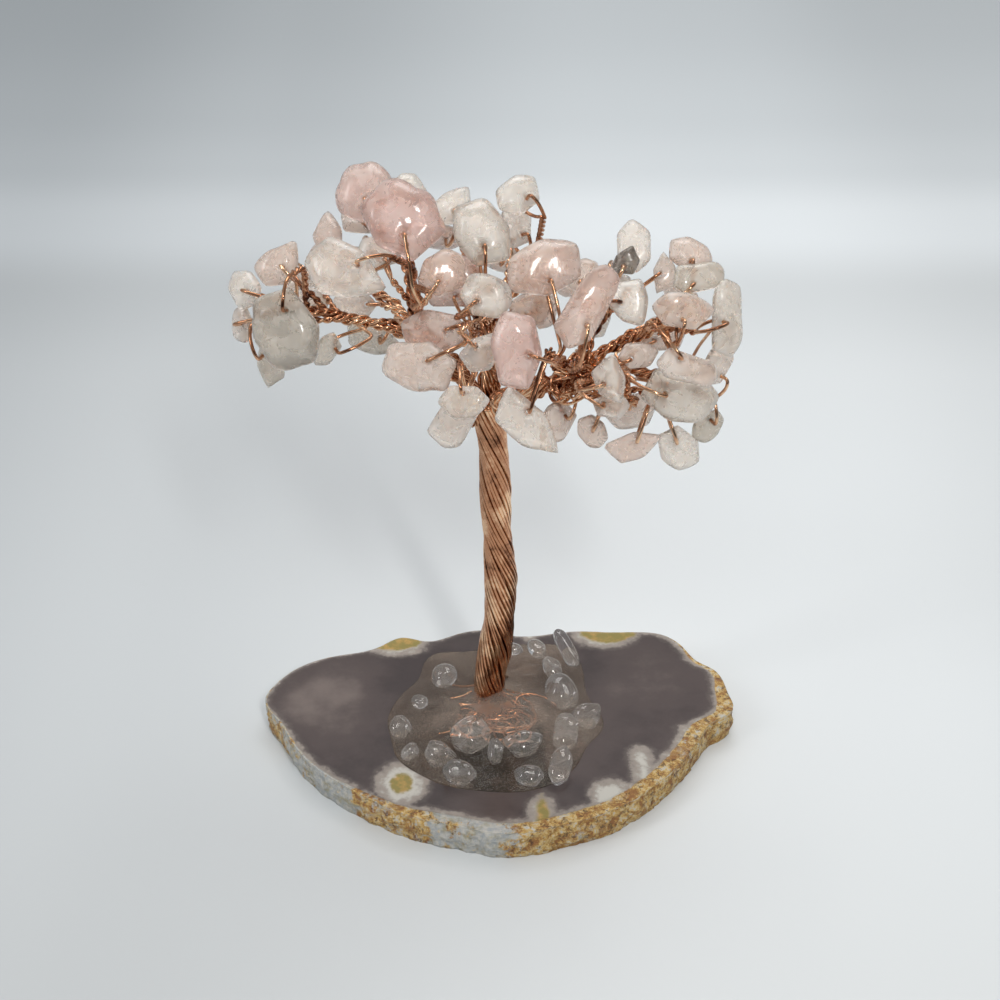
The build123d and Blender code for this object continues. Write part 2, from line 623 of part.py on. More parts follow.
def save(shape, name):
    shape.label = name
    export_step(shape, f"parts/{name}.step")


def save_group(shapes, name):
    solids = [solid for shape in shapes for solid in shape.solids()]
    save(Compound(label=name, children=solids), name)


# The trunk's axis and its twist at a height
def trunk_axis(height):
    share = (height - slab_thickness) / (trunk_top - slab_thickness)
    heights, sways = np.array(trunk_axis_shares).T
    return np.array((np.interp(share, heights, sways) * trunk_sway, 0.0, height))


def trunk_point(height, angle, broad, narrow):
    twist = -2 * np.pi * height / trunk_pitch
    local = np.array((broad * np.cos(angle), narrow * np.sin(angle)))
    x = local[0] * np.cos(twist) - local[1] * np.sin(twist)
    y = local[0] * np.sin(twist) + local[1] * np.cos(twist)
    return trunk_axis(height) + np.array((x, y, 0.0))


# A bundle or wire of the trunk, as level sections stacked up the axis
def stacked(sections):
    with BuildPart() as piece:
        for ring in sections:
            with BuildSketch(Plane.XY.offset(ring[0][2])):
                with BuildLine():
                    Polyline(*[(point[0], point[1]) for point in ring], close=True)
                make_face()
        loft(ruled=True)
    return piece.part


# Agate slab: a slice with a rough rind, a little wider below the middle
def agate_slab():
    width = slab_width
    depth = slab_depth
    middle = (slab_shift_share[0] * width, slab_shift_share[1] * depth)
    with BuildPart() as slab:
        for height_share, size_share in slab_layer_shares:
            with BuildSketch(Plane.XY.offset(height_share * slab_thickness)):
                with BuildLine():
                    points = [(middle[0] + x * width * size_share, middle[1] + y * depth * size_share)
                              for x, y in slab_outline_shares]
                    Spline(*points, periodic=True)
                make_face()
        loft(ruled=True)
    return slab.part


save(agate_slab(), "agate_slab")

# Trunk: a solid heart, and the outer wires twisted round it
heights = np.linspace(slab_thickness, trunk_top, trunk_sections)
heart_radius = trunk_narrow_radius - trunk_wire * heart_inset_share
heart_angles = np.linspace(0, 2 * np.pi, heart_sides + 1)[:-1]
heart_ring = np.array([(np.cos(angle), np.sin(angle), 0.0) for angle in heart_angles]) * heart_radius
save(stacked([trunk_axis(height) + heart_ring for height in heights]), "trunk_core")

strand_angles = np.linspace(0, 2 * np.pi, strand_count + 1)[:-1]
section_angles = np.linspace(0, 2 * np.pi, wire_sides + 1)[:-1]
section = np.array([(np.cos(angle), np.sin(angle), 0.0) for angle in section_angles]) * trunk_wire / 2
strands = []
for angle in strand_angles:
    sections = [section + trunk_point(height, angle, trunk_broad_radius, trunk_narrow_radius)
                for height in heights]
    strands.append(stacked(sections))
save_group(strands, "trunk_strands")


# Skeleton: each bundle starts flush on the end of the one that carries it, side by side with others
def canopy_point(shares):
    return np.array((shares[0] * canopy_width, shares[1] * canopy_depth,
                     canopy_base + shares[2] * canopy_height))


def fan(centre, way, targets, diameter):
    ring = diameter / 2 / np.sin(np.pi / len(targets)) * (1 + 2 * trunk_gap)
    side = unit(np.cross(way, up if abs(way[2]) < 0.9 else np.array((1.0, 0.0, 0.0))))
    top = np.cross(way, side)
    angles = [np.arctan2((target - centre) @ top, (target - centre) @ side) for target in targets]
    order = np.argsort(angles)
    spaced = np.empty(len(targets))
    spaced[order] = np.arange(len(targets)) * 2 * np.pi / len(targets)
    spaced += np.mean(np.array(angles)[order] - spaced[order])
    return [centre + (np.cos(angle) * side + np.sin(angle) * top) * ring for angle in spaced]


routes = {}
crown = trunk_axis(trunk_top)
limb_names = list(limb_routes_shares)
targets = [canopy_point(limb_routes_shares[name][0]) for name in limb_names]
for name, start in zip(limb_names, fan(crown, up, targets, limb_diameter)):
    lead = start + up * limb_diameter * limb_lead_share
    routes[name] = [start, lead] + [canopy_point(shares) for shares in limb_routes_shares[name]]

bough_names = list(bough_routes_shares)
for limb in limb_names:
    carried = [name for name in bough_names if bough_routes_shares[name][0] == limb]
    end = routes[limb][-1]
    way = unit(end - routes[limb][-2])
    targets = [canopy_point(bough_routes_shares[name][1][0]) for name in carried]
    for name, start in zip(carried, fan(end, way, targets, bough_diameter)):
        lead = start + way * bough_diameter
        routes[name] = [start, lead] + [canopy_point(shares) for shares in bough_routes_shares[name][1]]

bundles = {}
for name, route in routes.items():
    thick = limb_diameter if name in limb_names else bough_diameter
    bundles[name] = wire(route, thick, bundle_sides)
    save(bundles[name], f"{name}_limb" if name in limb_names else f"{name}_bough")


# Where its twigs leave a bough: in order along it, each on the side that faces its stone
def stations(route, members):
    route = np.array(route)
    places = np.array([stone.home for stone in members])
    lengths = np.linalg.norm(np.diff(route, axis=0), axis=1)
    total = lengths.sum()
    edges = np.concatenate(([0], np.cumsum(lengths)))
    samples = np.linspace(0, total, route_samples)
    line = np.array([np.interp(samples, edges, route[:, axis]) for axis in range(3)]).T
    away = np.linalg.norm(places[:, None] - line[None], axis=2)
    nearest = away.min(axis=1)
    needed = np.array([stone.size.max() / 2 for stone in members]) + neck_length + 3 * twig_straight
    back = np.maximum(nearest * twig_back_share, np.sqrt(np.maximum(needed ** 2 - nearest ** 2, 0)))
    wanted = samples[away.argmin(axis=1)] - back
    order = np.argsort(wanted)
    ranks = np.arange(len(places))
    spacing = min(twig_spacing, (total - 2 * bough_diameter) / max(len(places) - 1, 1))
    low = bough_diameter + spacing * ranks
    high = total - bough_diameter / 2 - spacing * ranks[::-1]
    placed = np.empty(len(places))
    latest = -spacing
    for rank, index in enumerate(order):
        latest = np.clip(max(wanted[index], latest + spacing), low[rank], high[rank])
        placed[index] = latest
    axis_points = np.array([np.interp(placed, edges, route[:, axis]) for axis in range(3)]).T
    runs = np.clip(np.searchsorted(edges, placed) - 1, 0, len(lengths) - 1)
    ways = unit(np.diff(route, axis=0))[runs]
    outward = places - axis_points
    outward -= ways * dots(outward, ways)[:, None]
    return axis_points + unit(outward) * bough_diameter * twig_seat_share


stones = []
stone_bough = []
for name, rows in stones_shares.items():
    for row in rows:
        stones.append(Stone(row[3:], canopy_point(row[:3]), stone_length, stone_width, stone_fullness_share))
        stone_bough.append(name)
fixed_count = len(stones)
for name, row in dangling_shares.values():
    stones.append(Stone(row[3:9], canopy_point(row[:3]), stone_length, stone_width, stone_fullness_share))
    stone_bough.append(name)
stone_bough = np.array(stone_bough)

roots = np.zeros((len(stones), 3))
for name in bough_names:
    members = np.nonzero(stone_bough == name)[0]
    roots[members] = stations(routes[name], [stones[index] for index in members])
carriers = np.array([bough_names.index(name) for name in stone_bough])
dangling_rows = [row for _, row in dangling_shares.values()]
for index, stone in enumerate(stones):
    if index < fixed_count:
        stone.hang(roots[index] - stone.home, hole_share, 0.0)
    else:
        turn, lift, hook_angle = [dangling_rows[index - fixed_count][column] for column in (5, 6, 9)]
        stone.hang(stone_axes(turn, lift, hook_angle)[0], dangling_hole_share, swing_degrees)

fixed = []
for name, route in routes.items():
    body = bough_names.index(name) if name in bough_names else -2
    thick = limb_diameter if name in limb_names else bough_diameter
    for start, end in zip(route[:-1], route[1:]):
        fixed.append((start, end, thick / 2, body))
trunk_low = trunk_axis((slab_thickness + trunk_top) / 2)
fixed.append((trunk_low, crown, trunk_broad_radius + trunk_wire, -2))
Crowd(stones, fixed, roots, carriers).settle()

# Stones, twigs and hooks, bough by bough
for name in bough_names:
    members = np.nonzero(stone_bough == name)[0]
    stems = [wire([roots[index], stones[index].bend, stones[index].twig_end()], twig_diameter, twig_sides)
             for index in members]
    hooks = []
    for index in members:
        hooks += coped_wires([wire(stones[index].hook_points(), hook_wire, hook_sides)], stems)
    save_group(coped_wires(stems, [bundles[name]]) + hooks, f"{name}_twigs")
    save_group([chip(stones[index]) for index in members if index < fixed_count], f"{name}_stones")

for index, name in enumerate(dangling_shares):
    stone = stones[fixed_count + index]
    save(chip(stone, dangling=True), f"{name}_stone")
    place = np.round(stone.middle + stone.hole, 3)
    print(name, "hinge at", place, "axis", np.round(stone.normal, 4), "middle", np.round(stone.middle, 2))

# Roots: wire ends that spread from the trunk's foot inside the resin
pool_middle = np.array((pool_shift_share[0] * pool_width, pool_shift_share[1] * pool_depth, slab_thickness))
foot = trunk_axis(slab_thickness)
root_start = trunk_broad_radius + trunk_wire / 2 + root_wire / 2 + trunk_gap
root_wires = []
root_runs = []
for number in range(root_count):
    angle = 2 * np.pi * (number + root_turn_share * (number % 2)) / root_count
    out = np.array((np.cos(angle), np.sin(angle), 0.0))
    side = np.array((-np.sin(angle), np.cos(angle), 0.0))
    reach = root_reach * (1 - root_thinning_share * (number % 3))
    rises = [up * pool_height * share for share in root_rise_shares]
    points = [foot + out * root_start + rises[0],
              foot + out * (root_start + reach) / 2 + side * root_wire + rises[1],
              foot + out * reach + side * root_wire / 2 + up * (root_wire / 2 + bed_gap)]
    root_wires.append(wire(points, root_wire, wire_sides))
    root_runs += [(start, end, root_wire / 2, -2) for start, end in zip(points[:-1], points[1:])]
save_group(root_wires, "root_wires")


# Height of the resin above the slab, at a share of the pool's radius
def dome_height(share):
    rises, sizes = np.array(dome_shares).T
    return pool_height * np.interp(-share, -sizes, rises)


crystals = []
crystal_group = []
for name, rows in crystals_shares.items():
    for row in rows:
        flat = np.array((row[0] * pool_width, row[1] * pool_depth))
        share = np.hypot((flat[0] - pool_middle[0]) / pool_width, (flat[1] - pool_middle[1]) / pool_depth) * 2
        middle = (flat[0], flat[1], slab_thickness + crystal_rise_share * dome_height(share))
        crystals.append(Stone(row[2:], middle, crystal_length, crystal_width, crystal_fullness_share))
        crystal_group.append(name)
trunk_foot_run = (foot, trunk_axis(slab_thickness + 3 * pool_height), trunk_broad_radius + trunk_wire / 2, -2)
Crowd(crystals, [trunk_foot_run] + root_runs, floor=slab_thickness + bed_gap).settle()
clear_chips = [chip(stone, drilled=False) for stone in crystals]
for name in crystals_shares:
    save_group([piece for piece, group in zip(clear_chips, crystal_group) if group == name], name)

# Resin pool: a low dome, moulded round the trunk, the roots and the clear chips
foot_radius = trunk_broad_radius + trunk_wire / 2 + trunk_gap
pool_outline = np.array([(x * pool_width, y * pool_depth, 0.0) for x, y in pool_outline_shares])
pool_rings = [pool_middle + pool_outline * size_share + up * pool_height * rise_share
              for rise_share, size_share in dome_shares]
with BuildPart() as resin_pool:
    add(faceted(pool_rings))
    with BuildSketch(Plane.XY.offset(slab_thickness)):
        with Locations((foot[0], foot[1])):
            RegularPolygon(foot_radius, heart_sides, major_radius=False)
    extrude(amount=2 * pool_height, mode=Mode.SUBTRACT)
    add(root_wires, mode=Mode.SUBTRACT)
    add(clear_chips, mode=Mode.SUBTRACT)
save(resin_pool.part, "resin_pool")
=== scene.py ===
import bpy
import numpy as np
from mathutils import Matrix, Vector


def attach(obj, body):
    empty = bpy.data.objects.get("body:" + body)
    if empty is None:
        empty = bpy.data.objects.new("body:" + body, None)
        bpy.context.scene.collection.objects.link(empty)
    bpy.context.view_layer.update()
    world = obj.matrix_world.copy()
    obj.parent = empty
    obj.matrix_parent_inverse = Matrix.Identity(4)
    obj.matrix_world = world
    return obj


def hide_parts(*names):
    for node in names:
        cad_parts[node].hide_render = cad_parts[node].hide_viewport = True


# A gemstone tree: twisted copper wire, drilled and tumbled quartz chips, an agate slice and a pool of
# clear resin. The CAD gives every place. Lengths in here are millimetres until a mesh is written.
mm = 0.001
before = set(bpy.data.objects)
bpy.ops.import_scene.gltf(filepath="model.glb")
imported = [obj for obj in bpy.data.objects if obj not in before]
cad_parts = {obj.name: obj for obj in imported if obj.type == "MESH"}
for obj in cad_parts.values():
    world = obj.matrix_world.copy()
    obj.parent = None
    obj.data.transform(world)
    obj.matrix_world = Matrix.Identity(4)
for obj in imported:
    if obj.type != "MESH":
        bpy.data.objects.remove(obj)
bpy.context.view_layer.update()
nodeNames = sorted(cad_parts)
root = "tree"
scene = bpy.context.scene
print("frame read,", len(nodeNames), "nodes")


# Reading the CAD
def norms(vectors):
    return np.linalg.norm(vectors, axis=1)


# Vectors scaled to a length of 1
def unit(vectors):
    return vectors / np.maximum(np.linalg.norm(vectors, axis=-1, keepdims=True), 1e-9)


# A node's corners, with doubles merged, and its triangles
def readNode(name):
    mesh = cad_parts[name].data
    places = np.empty(len(mesh.vertices) * 3)
    mesh.vertices.foreach_get("co", places)
    mesh.calc_loop_triangles()
    triangles = np.empty(len(mesh.loop_triangles) * 3, int)
    mesh.loop_triangles.foreach_get("vertices", triangles)
    points, back = np.unique(np.round(places.reshape(-1, 3) / mm, 3), axis=0, return_inverse=True)
    return points, back.reshape(-1)[triangles].reshape(-1, 3)


def atHeight(points, height, slack=0.01):
    return points[np.abs(points[:, 2] - height) < slack]


# Splits a mesh into its separate solids: every triangle takes the lowest label among its corners
def splitSolids(points, triangles):
    label = np.arange(len(points))
    while True:
        lower = label.copy()
        np.minimum.at(lower, triangles.ravel(), np.repeat(label[triangles].min(axis=1), 3))
        lower = lower[lower]
        if (lower == label).all():
            break
        label = lower
    solids = []
    for name in np.unique(label[triangles]):
        mine = triangles[label[triangles[:, 0]] == name]
        used, back = np.unique(mine, return_inverse=True)
        solids.append((points[used], back.reshape(-1, 3)))
    return solids


# Flat faces of a solid that has no corner in front of them, and the wall of a hole through it
def readFaces(points, triangles, slack=0.02, leastArea=1e-4):
    corners = points[triangles]
    normals = np.cross(corners[:, 1] - corners[:, 0], corners[:, 2] - corners[:, 0])
    areas = norms(normals)
    normals = unit(normals)
    reach = np.einsum("fk,fk->f", normals, corners[:, 0])
    outer = ((normals @ points.T).max(axis=1) - reach < slack) & (areas > leastArea)
    first = np.unique(np.round(normals[outer], 2), axis=0, return_index=True)[1]
    planes = normals[outer][first], reach[outer][first]
    inner = ~outer & (areas > leastArea)
    if not inner.any():
        return planes, None, None
    axis = np.linalg.svd(normals[inner] * areas[inner, None])[2][-1]
    wall = points[np.unique(triangles[inner])]
    along = wall @ axis
    middle = (along.max() + along.min()) / 2
    across = wall - along[:, None] * axis
    return planes, across.mean(axis=0) + axis * middle, axis


# Middle of each ring of corners along a swept rod, starting at a ring that is given
def ringMiddles(points, triangles, ring, most=9):
    edges = np.concatenate((triangles[:, :2], triangles[:, 1:], triangles[:, ::2]))
    seen = np.zeros(len(points), bool)
    seen[ring] = True
    middles = [points[ring].mean(axis=0)]
    while len(middles) < most:
        touching = edges[seen[edges[:, 0]] | seen[edges[:, 1]]]
        nextRing = np.setdiff1d(touching.ravel(), np.nonzero(seen)[0])
        if not len(nextRing):
            break
        middles.append(points[nextRing].mean(axis=0))
        seen[nextRing] = True
    return np.array(middles)


# The line along the middle of a rod: its flat end with so many corners that lies nearest a point
def rodLine(points, triangles, sides, near, alike=0.08, mostUneven=2.5):
    corners = points[triangles]
    normals = unit(np.cross(corners[:, 1] - corners[:, 0], corners[:, 2] - corners[:, 0]))
    planes = np.column_stack((normals, np.einsum("fk,fk->f", normals, corners[:, 0])))
    ends = []
    for plane in planes:
        ring = np.unique(triangles[np.abs(planes - plane).max(axis=1) < alike])
        spread = norms(points[ring] - points[ring].mean(axis=0))
        if len(ring) == sides and spread.max() < spread.min() * mostUneven:
            ends.append(ring)
    ring = min(ends, key=lambda ring: np.linalg.norm(points[ring].mean(axis=0) - near))
    return ringMiddles(points, triangles, ring)


# Lines in space
# Straight runs with each corner rounded by a parabola that starts up to its "cut" before it, then
# spaced evenly along the length
def roundedLine(points, cuts, samples, cornerSamples=14, mostCut=0.48):
    points = np.asarray(points, float)
    cuts = np.broadcast_to(cuts, len(points))
    runs = np.diff(points, axis=0)
    lengths = norms(runs)
    ways = runs / lengths[:, None]
    share = np.linspace(0, 1, cornerSamples)[:, None]
    pieces = [points[:1]]
    for index in range(1, len(points) - 1):
        before = points[index] - ways[index - 1] * min(cuts[index], lengths[index - 1] * mostCut)
        after = points[index] + ways[index] * min(cuts[index], lengths[index] * mostCut)
        bend = 2 * share * (1 - share) * points[index]
        pieces.append((1 - share) ** 2 * before + bend + share ** 2 * after)
    pieces.append(points[-1:])
    return evenly(np.concatenate(pieces), samples)


# How far along a line each of its points is
def lengthAlong(line):
    return np.concatenate(([0], np.cumsum(norms(np.diff(line, axis=0)))))


# A line with its points spaced evenly
def evenly(line, samples):
    steps = lengthAlong(line)
    wanted = np.linspace(0, steps[-1], samples)
    return np.column_stack([np.interp(wanted, steps, line[:, axis]) for axis in range(3)])


# Two directions across a line at every sample, carried along it with no turn about it. Lines come as
# one array, line by sample by 3, and each step turns all of them at once.
def carriedAcross(lines):
    ways = unit(np.gradient(lines, axis=1))
    start = np.where(np.abs(ways[:, 0, 2:]) < 0.9, np.array((0.0, 0.0, 1.0)), np.array((1.0, 0.0, 0.0)))
    first = [unit(np.cross(ways[:, 0], start))]
    for step in range(1, lines.shape[1]):
        held = first[-1] - ways[:, step] * np.einsum("lk,lk->l", first[-1], ways[:, step])[:, None]
        first.append(unit(held))
    first = np.stack(first, axis=1)
    return first, np.cross(ways, first)


# Surfaces
# Angles in equal steps round a full turn
def fullTurn(count):
    return np.linspace(0, 2 * np.pi, count, endpoint=False)


# The way at an angle from a first way towards a second: cos a * first + sin a * second
def turned(angle, first, second):
    return np.cos(angle) * first + np.sin(angle) * second


# A round wire along each line: centre + radius * (cos a * across + sin a * up), with flat closed ends
def wireSurface(lines, radius, sides):
    lines = np.asarray(lines)
    count, samples = lines.shape[:2]
    across, over = carriedAcross(lines)
    angle = fullTurn(sides)[:, None]
    radius = np.broadcast_to(np.asarray(radius, float).reshape(-1, 1, 1, 1), (count, samples, 1, 1))
    rings = lines[:, :, None] + radius * turned(angle, across[:, :, None], over[:, :, None])
    index = np.arange(count * samples * sides).reshape(count, samples, sides)
    nextSide = np.roll(index, -1, axis=2)
    quads = np.stack((index[:, :-1], nextSide[:, :-1], nextSide[:, 1:], index[:, 1:]), axis=-1).reshape(-1, 4)
    caps = np.concatenate((index[:, 0, ::-1], index[:, -1]))
    return rings.reshape(-1, 3), [quads, caps]


# A grid of points as a surface, closed round its first way, its second way, or both
def gridFaces(rows, columns, closeRows, closeColumns):
    index = np.arange(rows * columns).reshape(rows, columns)
    nextRow = np.roll(index, -1, axis=0)
    both = np.roll(nextRow, -1, axis=1)
    nextColumn = np.roll(index, -1, axis=1)
    quads = np.stack((index, nextRow, both, nextColumn), axis=-1)
    if not closeRows:
        quads = quads[:-1]
    if not closeColumns:
        quads = quads[:, :-1]
    return quads.reshape(-1, 4)


# Gentle lumps: a sum of sines in random directions, as a share from -1 to 1
def lumps(points, length, rng, waves=7):
    ways = unit(rng.normal(size=(waves, 3))) * rng.uniform(0.7, 1.5, (waves, 1)) * 2 * np.pi / length
    phases = rng.uniform(0, 2 * np.pi, waves)
    return np.sin(points @ ways.T + phases).mean(axis=-1) * 1.7


chip = {
    "edge": 6.5,          # higher is sharper
    "holeEdge": 14,
    "grow": 1.2,
    "danglingGrow": 1.08,
    "holeRadius": 0.36,
    "around": 60,
    "section": 36,
    "lumpLength": 4.0,
    "lumpDepth": 0.04,
    "pitLength": 1.5,
    "pitDepth": 0.004,
}


# A tumbled chip with a drilled hole. For each angle round the hole there is a section in the half plane
# that starts on the hole's axis. From the section's middle a ray goes out to (sum of (slope of the ray
# to each flat face / distance of that face) ^ edge) ^ (-1 / edge), which rounds every corner, with a
# sharper edge at the hole. Away from the hole it is grown a little, as rounding makes a chip smaller.
def drilledChip(planes, centre, axis, rng, values):
    normals, reach = planes
    side = unit(np.cross(axis, np.array((0.31, 0.52, 0.79))))
    turn = fullTurn(values["around"])
    out = turned(turn[:, None], side, np.cross(axis, side))
    outward = out @ normals.T
    upward = normals @ axis
    away = reach - normals @ centre
    rim = np.where(outward > 1e-3, away / np.maximum(outward, 1e-3), 1e3).min(axis=1)
    hole = values["holeRadius"]
    middle = (hole + rim) / 2
    halfWide = (rim - hole) / 2
    halfHigh = np.where(upward > 0.9, away, 1e3).min()
    angle = fullTurn(values["section"])
    rayOut = halfWide[:, None] * np.cos(angle)
    rayUp = halfHigh * np.sin(angle)[None] * np.ones_like(rayOut)
    slope = rayOut[..., None] * outward[:, None] + rayUp[..., None] * upward
    faceShare = np.maximum(slope, 0) / (away - middle[:, None] * outward)[:, None]
    holeShare = np.maximum(-rayOut, 0) / (middle - hole)[:, None]
    outer = (faceShare ** values["edge"]).sum(axis=2) ** (1 / values["edge"])
    grow = (outer ** values["holeEdge"] + holeShare ** values["holeEdge"]) ** (-1 / values["holeEdge"])
    grow = grow * (1 + (values["grow"] - 1) * (0.5 + 0.5 * np.cos(angle)) ** 2)
    fromAxis = middle[:, None] + rayOut * grow
    points = centre + fromAxis[..., None] * out[:, None] + (rayUp * grow)[..., None] * axis
    deep = lumps(points, values["lumpLength"], rng) * values["lumpDepth"]
    deep = deep + lumps(points, values["pitLength"], rng) * values["pitDepth"]
    outside = np.clip((fromAxis - hole * 1.5) / (hole * 2), 0, 1)
    points = points + (points - centre) * (np.minimum(deep, 0.01) * outside)[..., None]
    return points.reshape(-1, 3), gridFaces(values["around"], values["section"], True, True)


# A chip with no hole: rays from its middle, on a grid of longitude and latitude with closed poles
def wholeChip(planes, centre, rng, values):
    normals, reach = planes
    away = reach - normals @ centre
    turn = fullTurn(values["around"])[:, None]
    rise = np.linspace(-np.pi / 2, np.pi / 2, values["section"])[None, 1:-1]
    level = np.cos(rise)
    rays = np.stack((np.cos(turn) * level, np.sin(turn) * level, np.sin(rise) + 0 * turn), axis=-1)
    rays = np.concatenate((rays.reshape(-1, 3), np.array(((0, 0, -1.0), (0, 0, 1.0)))))
    shares = np.maximum(rays @ normals.T, 0) / away
    reach = (shares ** values["edge"]).sum(axis=1) ** (-1 / values["edge"])
    points = centre + rays * reach[:, None] * values["grow"]
    deep = lumps(points, values["lumpLength"], rng) * values["lumpDepth"]
    points = points + (points - centre) * np.minimum(deep, 0.01)[:, None]
    rows, columns = values["around"], values["section"] - 2
    quads = gridFaces(rows, columns, True, False)
    low = np.arange(rows) * columns
    nextLow = np.roll(low, -1)
    high = low + columns - 1
    nextHigh = np.roll(high, -1)
    poles = np.full(rows, rows * columns)
    fans = np.concatenate((np.stack((poles, nextLow, low), 1), np.stack((high, nextHigh, poles + 1), 1)))
    return points, [quads, fans]


# One smooth mesh object from several surfaces, in metres. An attribute has a number for each surface, or
# an array for each with a number for every point.
def makePiece(name, surfaces, material, attributes=None, body=root):
    points = []
    faces = []
    start = 0
    for places, groups in surfaces:
        points.append(places)
        for group in groups if isinstance(groups, list) else [groups]:
            faces.extend((group + start).tolist())
        start += len(places)
    mesh = bpy.data.meshes.new(name)
    mesh.from_pydata(np.concatenate(points) * mm, [], faces)
    for key, values in (attributes or {}).items():
        flat = np.concatenate([np.broadcast_to(value, len(places))
                               for value, (places, _) in zip(values, surfaces)])
        mesh.attributes.new(key, "FLOAT", "POINT").data.foreach_set("value", flat.astype(np.float32))
    mesh.polygons.foreach_set("use_smooth", np.full(len(mesh.polygons), True))
    mesh.materials.append(material)
    mesh.validate()
    mesh.update()
    piece = bpy.data.objects.new(name, mesh)
    scene.collection.objects.link(piece)
    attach(piece, body)
    return piece


# Materials
# A material with its shader and the object's own coordinates
def newMaterial(name):
    material = bpy.data.materials.new(name)
    material.use_nodes = True
    shader = material.node_tree.nodes["Principled BSDF"]
    return material, shader, addNode(shader, "TexCoord").outputs["Object"]


# A new shader node in the same tree as another node or socket
def addNode(other, kind, **settings):
    node = other.id_data.nodes.new("ShaderNode" + kind)
    for key, value in settings.items():
        setattr(node, key, value)
    return node


# Gives sockets of a node a number, a colour or the output of another node
def fill(node, values):
    for key, value in values.items():
        socket = node.inputs[key]
        if isinstance(value, bpy.types.NodeSocket):
            node.id_data.links.new(value, socket)
        elif isinstance(value, tuple):
            socket.default_value = (*value, 1)[:len(socket.default_value)]
        else:
            socket.default_value = value


# A number that the mesh holds for each point
def attribute(shader, name):
    return addNode(shader, "Attribute", attribute_name=name).outputs["Fac"]


# Noise from 0 to 1. The dictionaries below give each its scale, detail, roughness and distortion.
def noise(where, scale, detail, rough, warp=0.0):
    node = addNode(where, "TexNoise")
    fill(node, {"Vector": where, "Scale": scale, "Detail": detail,
                      "Roughness": rough, "Distortion": warp})
    return node.outputs["Fac"]


def ramp(source, stops):
    node = addNode(source, "ValToRGB")
    node.color_ramp.interpolation = "EASE"
    spots = node.color_ramp.elements
    while len(spots) < len(stops):
        spots.new(0.5)
    for spot, (place, color) in zip(spots, stops):
        spot.position = place
        spot.color = (*color, 1)
    fill(node, {"Fac": source})
    return node.outputs["Color"]


# A ramp between shares, each given with its place
def shares(source, *stops):
    return ramp(source, [(place, (share,) * 3) for place, share in stops])


# The first socket among some values
def firstSocket(*values):
    return next(value for value in values if isinstance(value, bpy.types.NodeSocket))


def mixColor(factor, first, second, blend="MIX"):
    node = addNode(firstSocket(factor, first, second), "Mix", data_type="RGBA", blend_type=blend)
    fill(node, {"Factor": factor, 6: first, 7: second})
    return node.outputs[2]


def math(operation, *values):
    node = addNode(firstSocket(*values), "Math", operation=operation)
    fill(node, dict(enumerate(values)))
    return node.outputs[0]


def plus(first, second):
    return math("ADD", first, second)


def times(first, second):
    return math("MULTIPLY", first, second)


def scaled(source, scale, offset):
    return math("MULTIPLY_ADD", source, scale, offset)


def mapRange(source, low, high):
    node = addNode(source, "MapRange")
    fill(node, {"Value": source, "From Min": low, "From Max": high})
    return node.outputs[0]


def addBump(shader, height, strength, distance):
    node = addNode(shader, "Bump")
    fill(node, {"Strength": strength, "Distance": distance, "Height": height})
    fill(shader, {"Normal": node.outputs["Normal"]})


# Lets light of one colour through where a shadow would fall
def lightThrough(shader, color):
    path = addNode(shader, "LightPath")
    through = addNode(shader, "BsdfTransparent")
    fill(through, {"Color": color})
    mix = addNode(shader, "MixShader")
    fill(mix, {0: path.outputs["Is Shadow Ray"], 1: shader.outputs[0], 2: through.outputs[0]})
    fill(shader.id_data.nodes["Material Output"], {"Surface": mix.outputs[0]})


copper = {
    "dark": (0.14, 0.052, 0.028),
    "middle": (0.56, 0.28, 0.155),
    "bright": (0.93, 0.62, 0.40),
    "places": (0.33, 0.47, 0.64),      # of the three colours on the noise
    "patches": (210, 5, 0.65),
    "lines": (2100, 3, 0.6),
    "roughness": (0.09, 0.20),
    "bump": 0.10,
}


# Copper wire: dull brown patches between brighter runs, and fine drawn lines
def copperMaterial():
    material, shader, where = newMaterial("copperWire")
    patches = noise(where, *copper["patches"])
    fine = noise(where, *copper["lines"])
    tone = plus(patches, scaled(fine, 0.12, -0.06))
    colors = [copper[key] for key in ("dark", "middle", "bright")]
    low, high = copper["roughness"]
    fill(shader, {
        "Base Color": ramp(tone, list(zip(copper["places"], colors))),
        "Roughness": scaled(patches, high - low, low),
        "Metallic": 1.0,
    })
    addBump(shader, fine, copper["bump"], 0.00003)
    return material


quartz = {
    "rose": (0.78, 0.58, 0.52),
    "blush": (0.80, 0.67, 0.59),
    "milk": (0.89, 0.82, 0.75),
    "green": (0.66, 0.60, 0.52),
    "smoke": (0.32, 0.295, 0.265),
    "veil": (0.85, 0.82, 0.77),
    "speck": (0.30, 0.21, 0.15),
    "scatter": 0.0024,
    "shadow": (0.42, 0.38, 0.36),
    "drift": (190, 4, 0.5, 0.8),
    "clouds": (420, 5, 0.6, 1.2),
    "stains": (260, 6, 0.7, 1.0),
    "specks": (2600, 2, 0.5),
    "ripples": (1100, 4, 0.6),
    "dents": (380, 3, 0.5),
    "bump": 0.08,
}


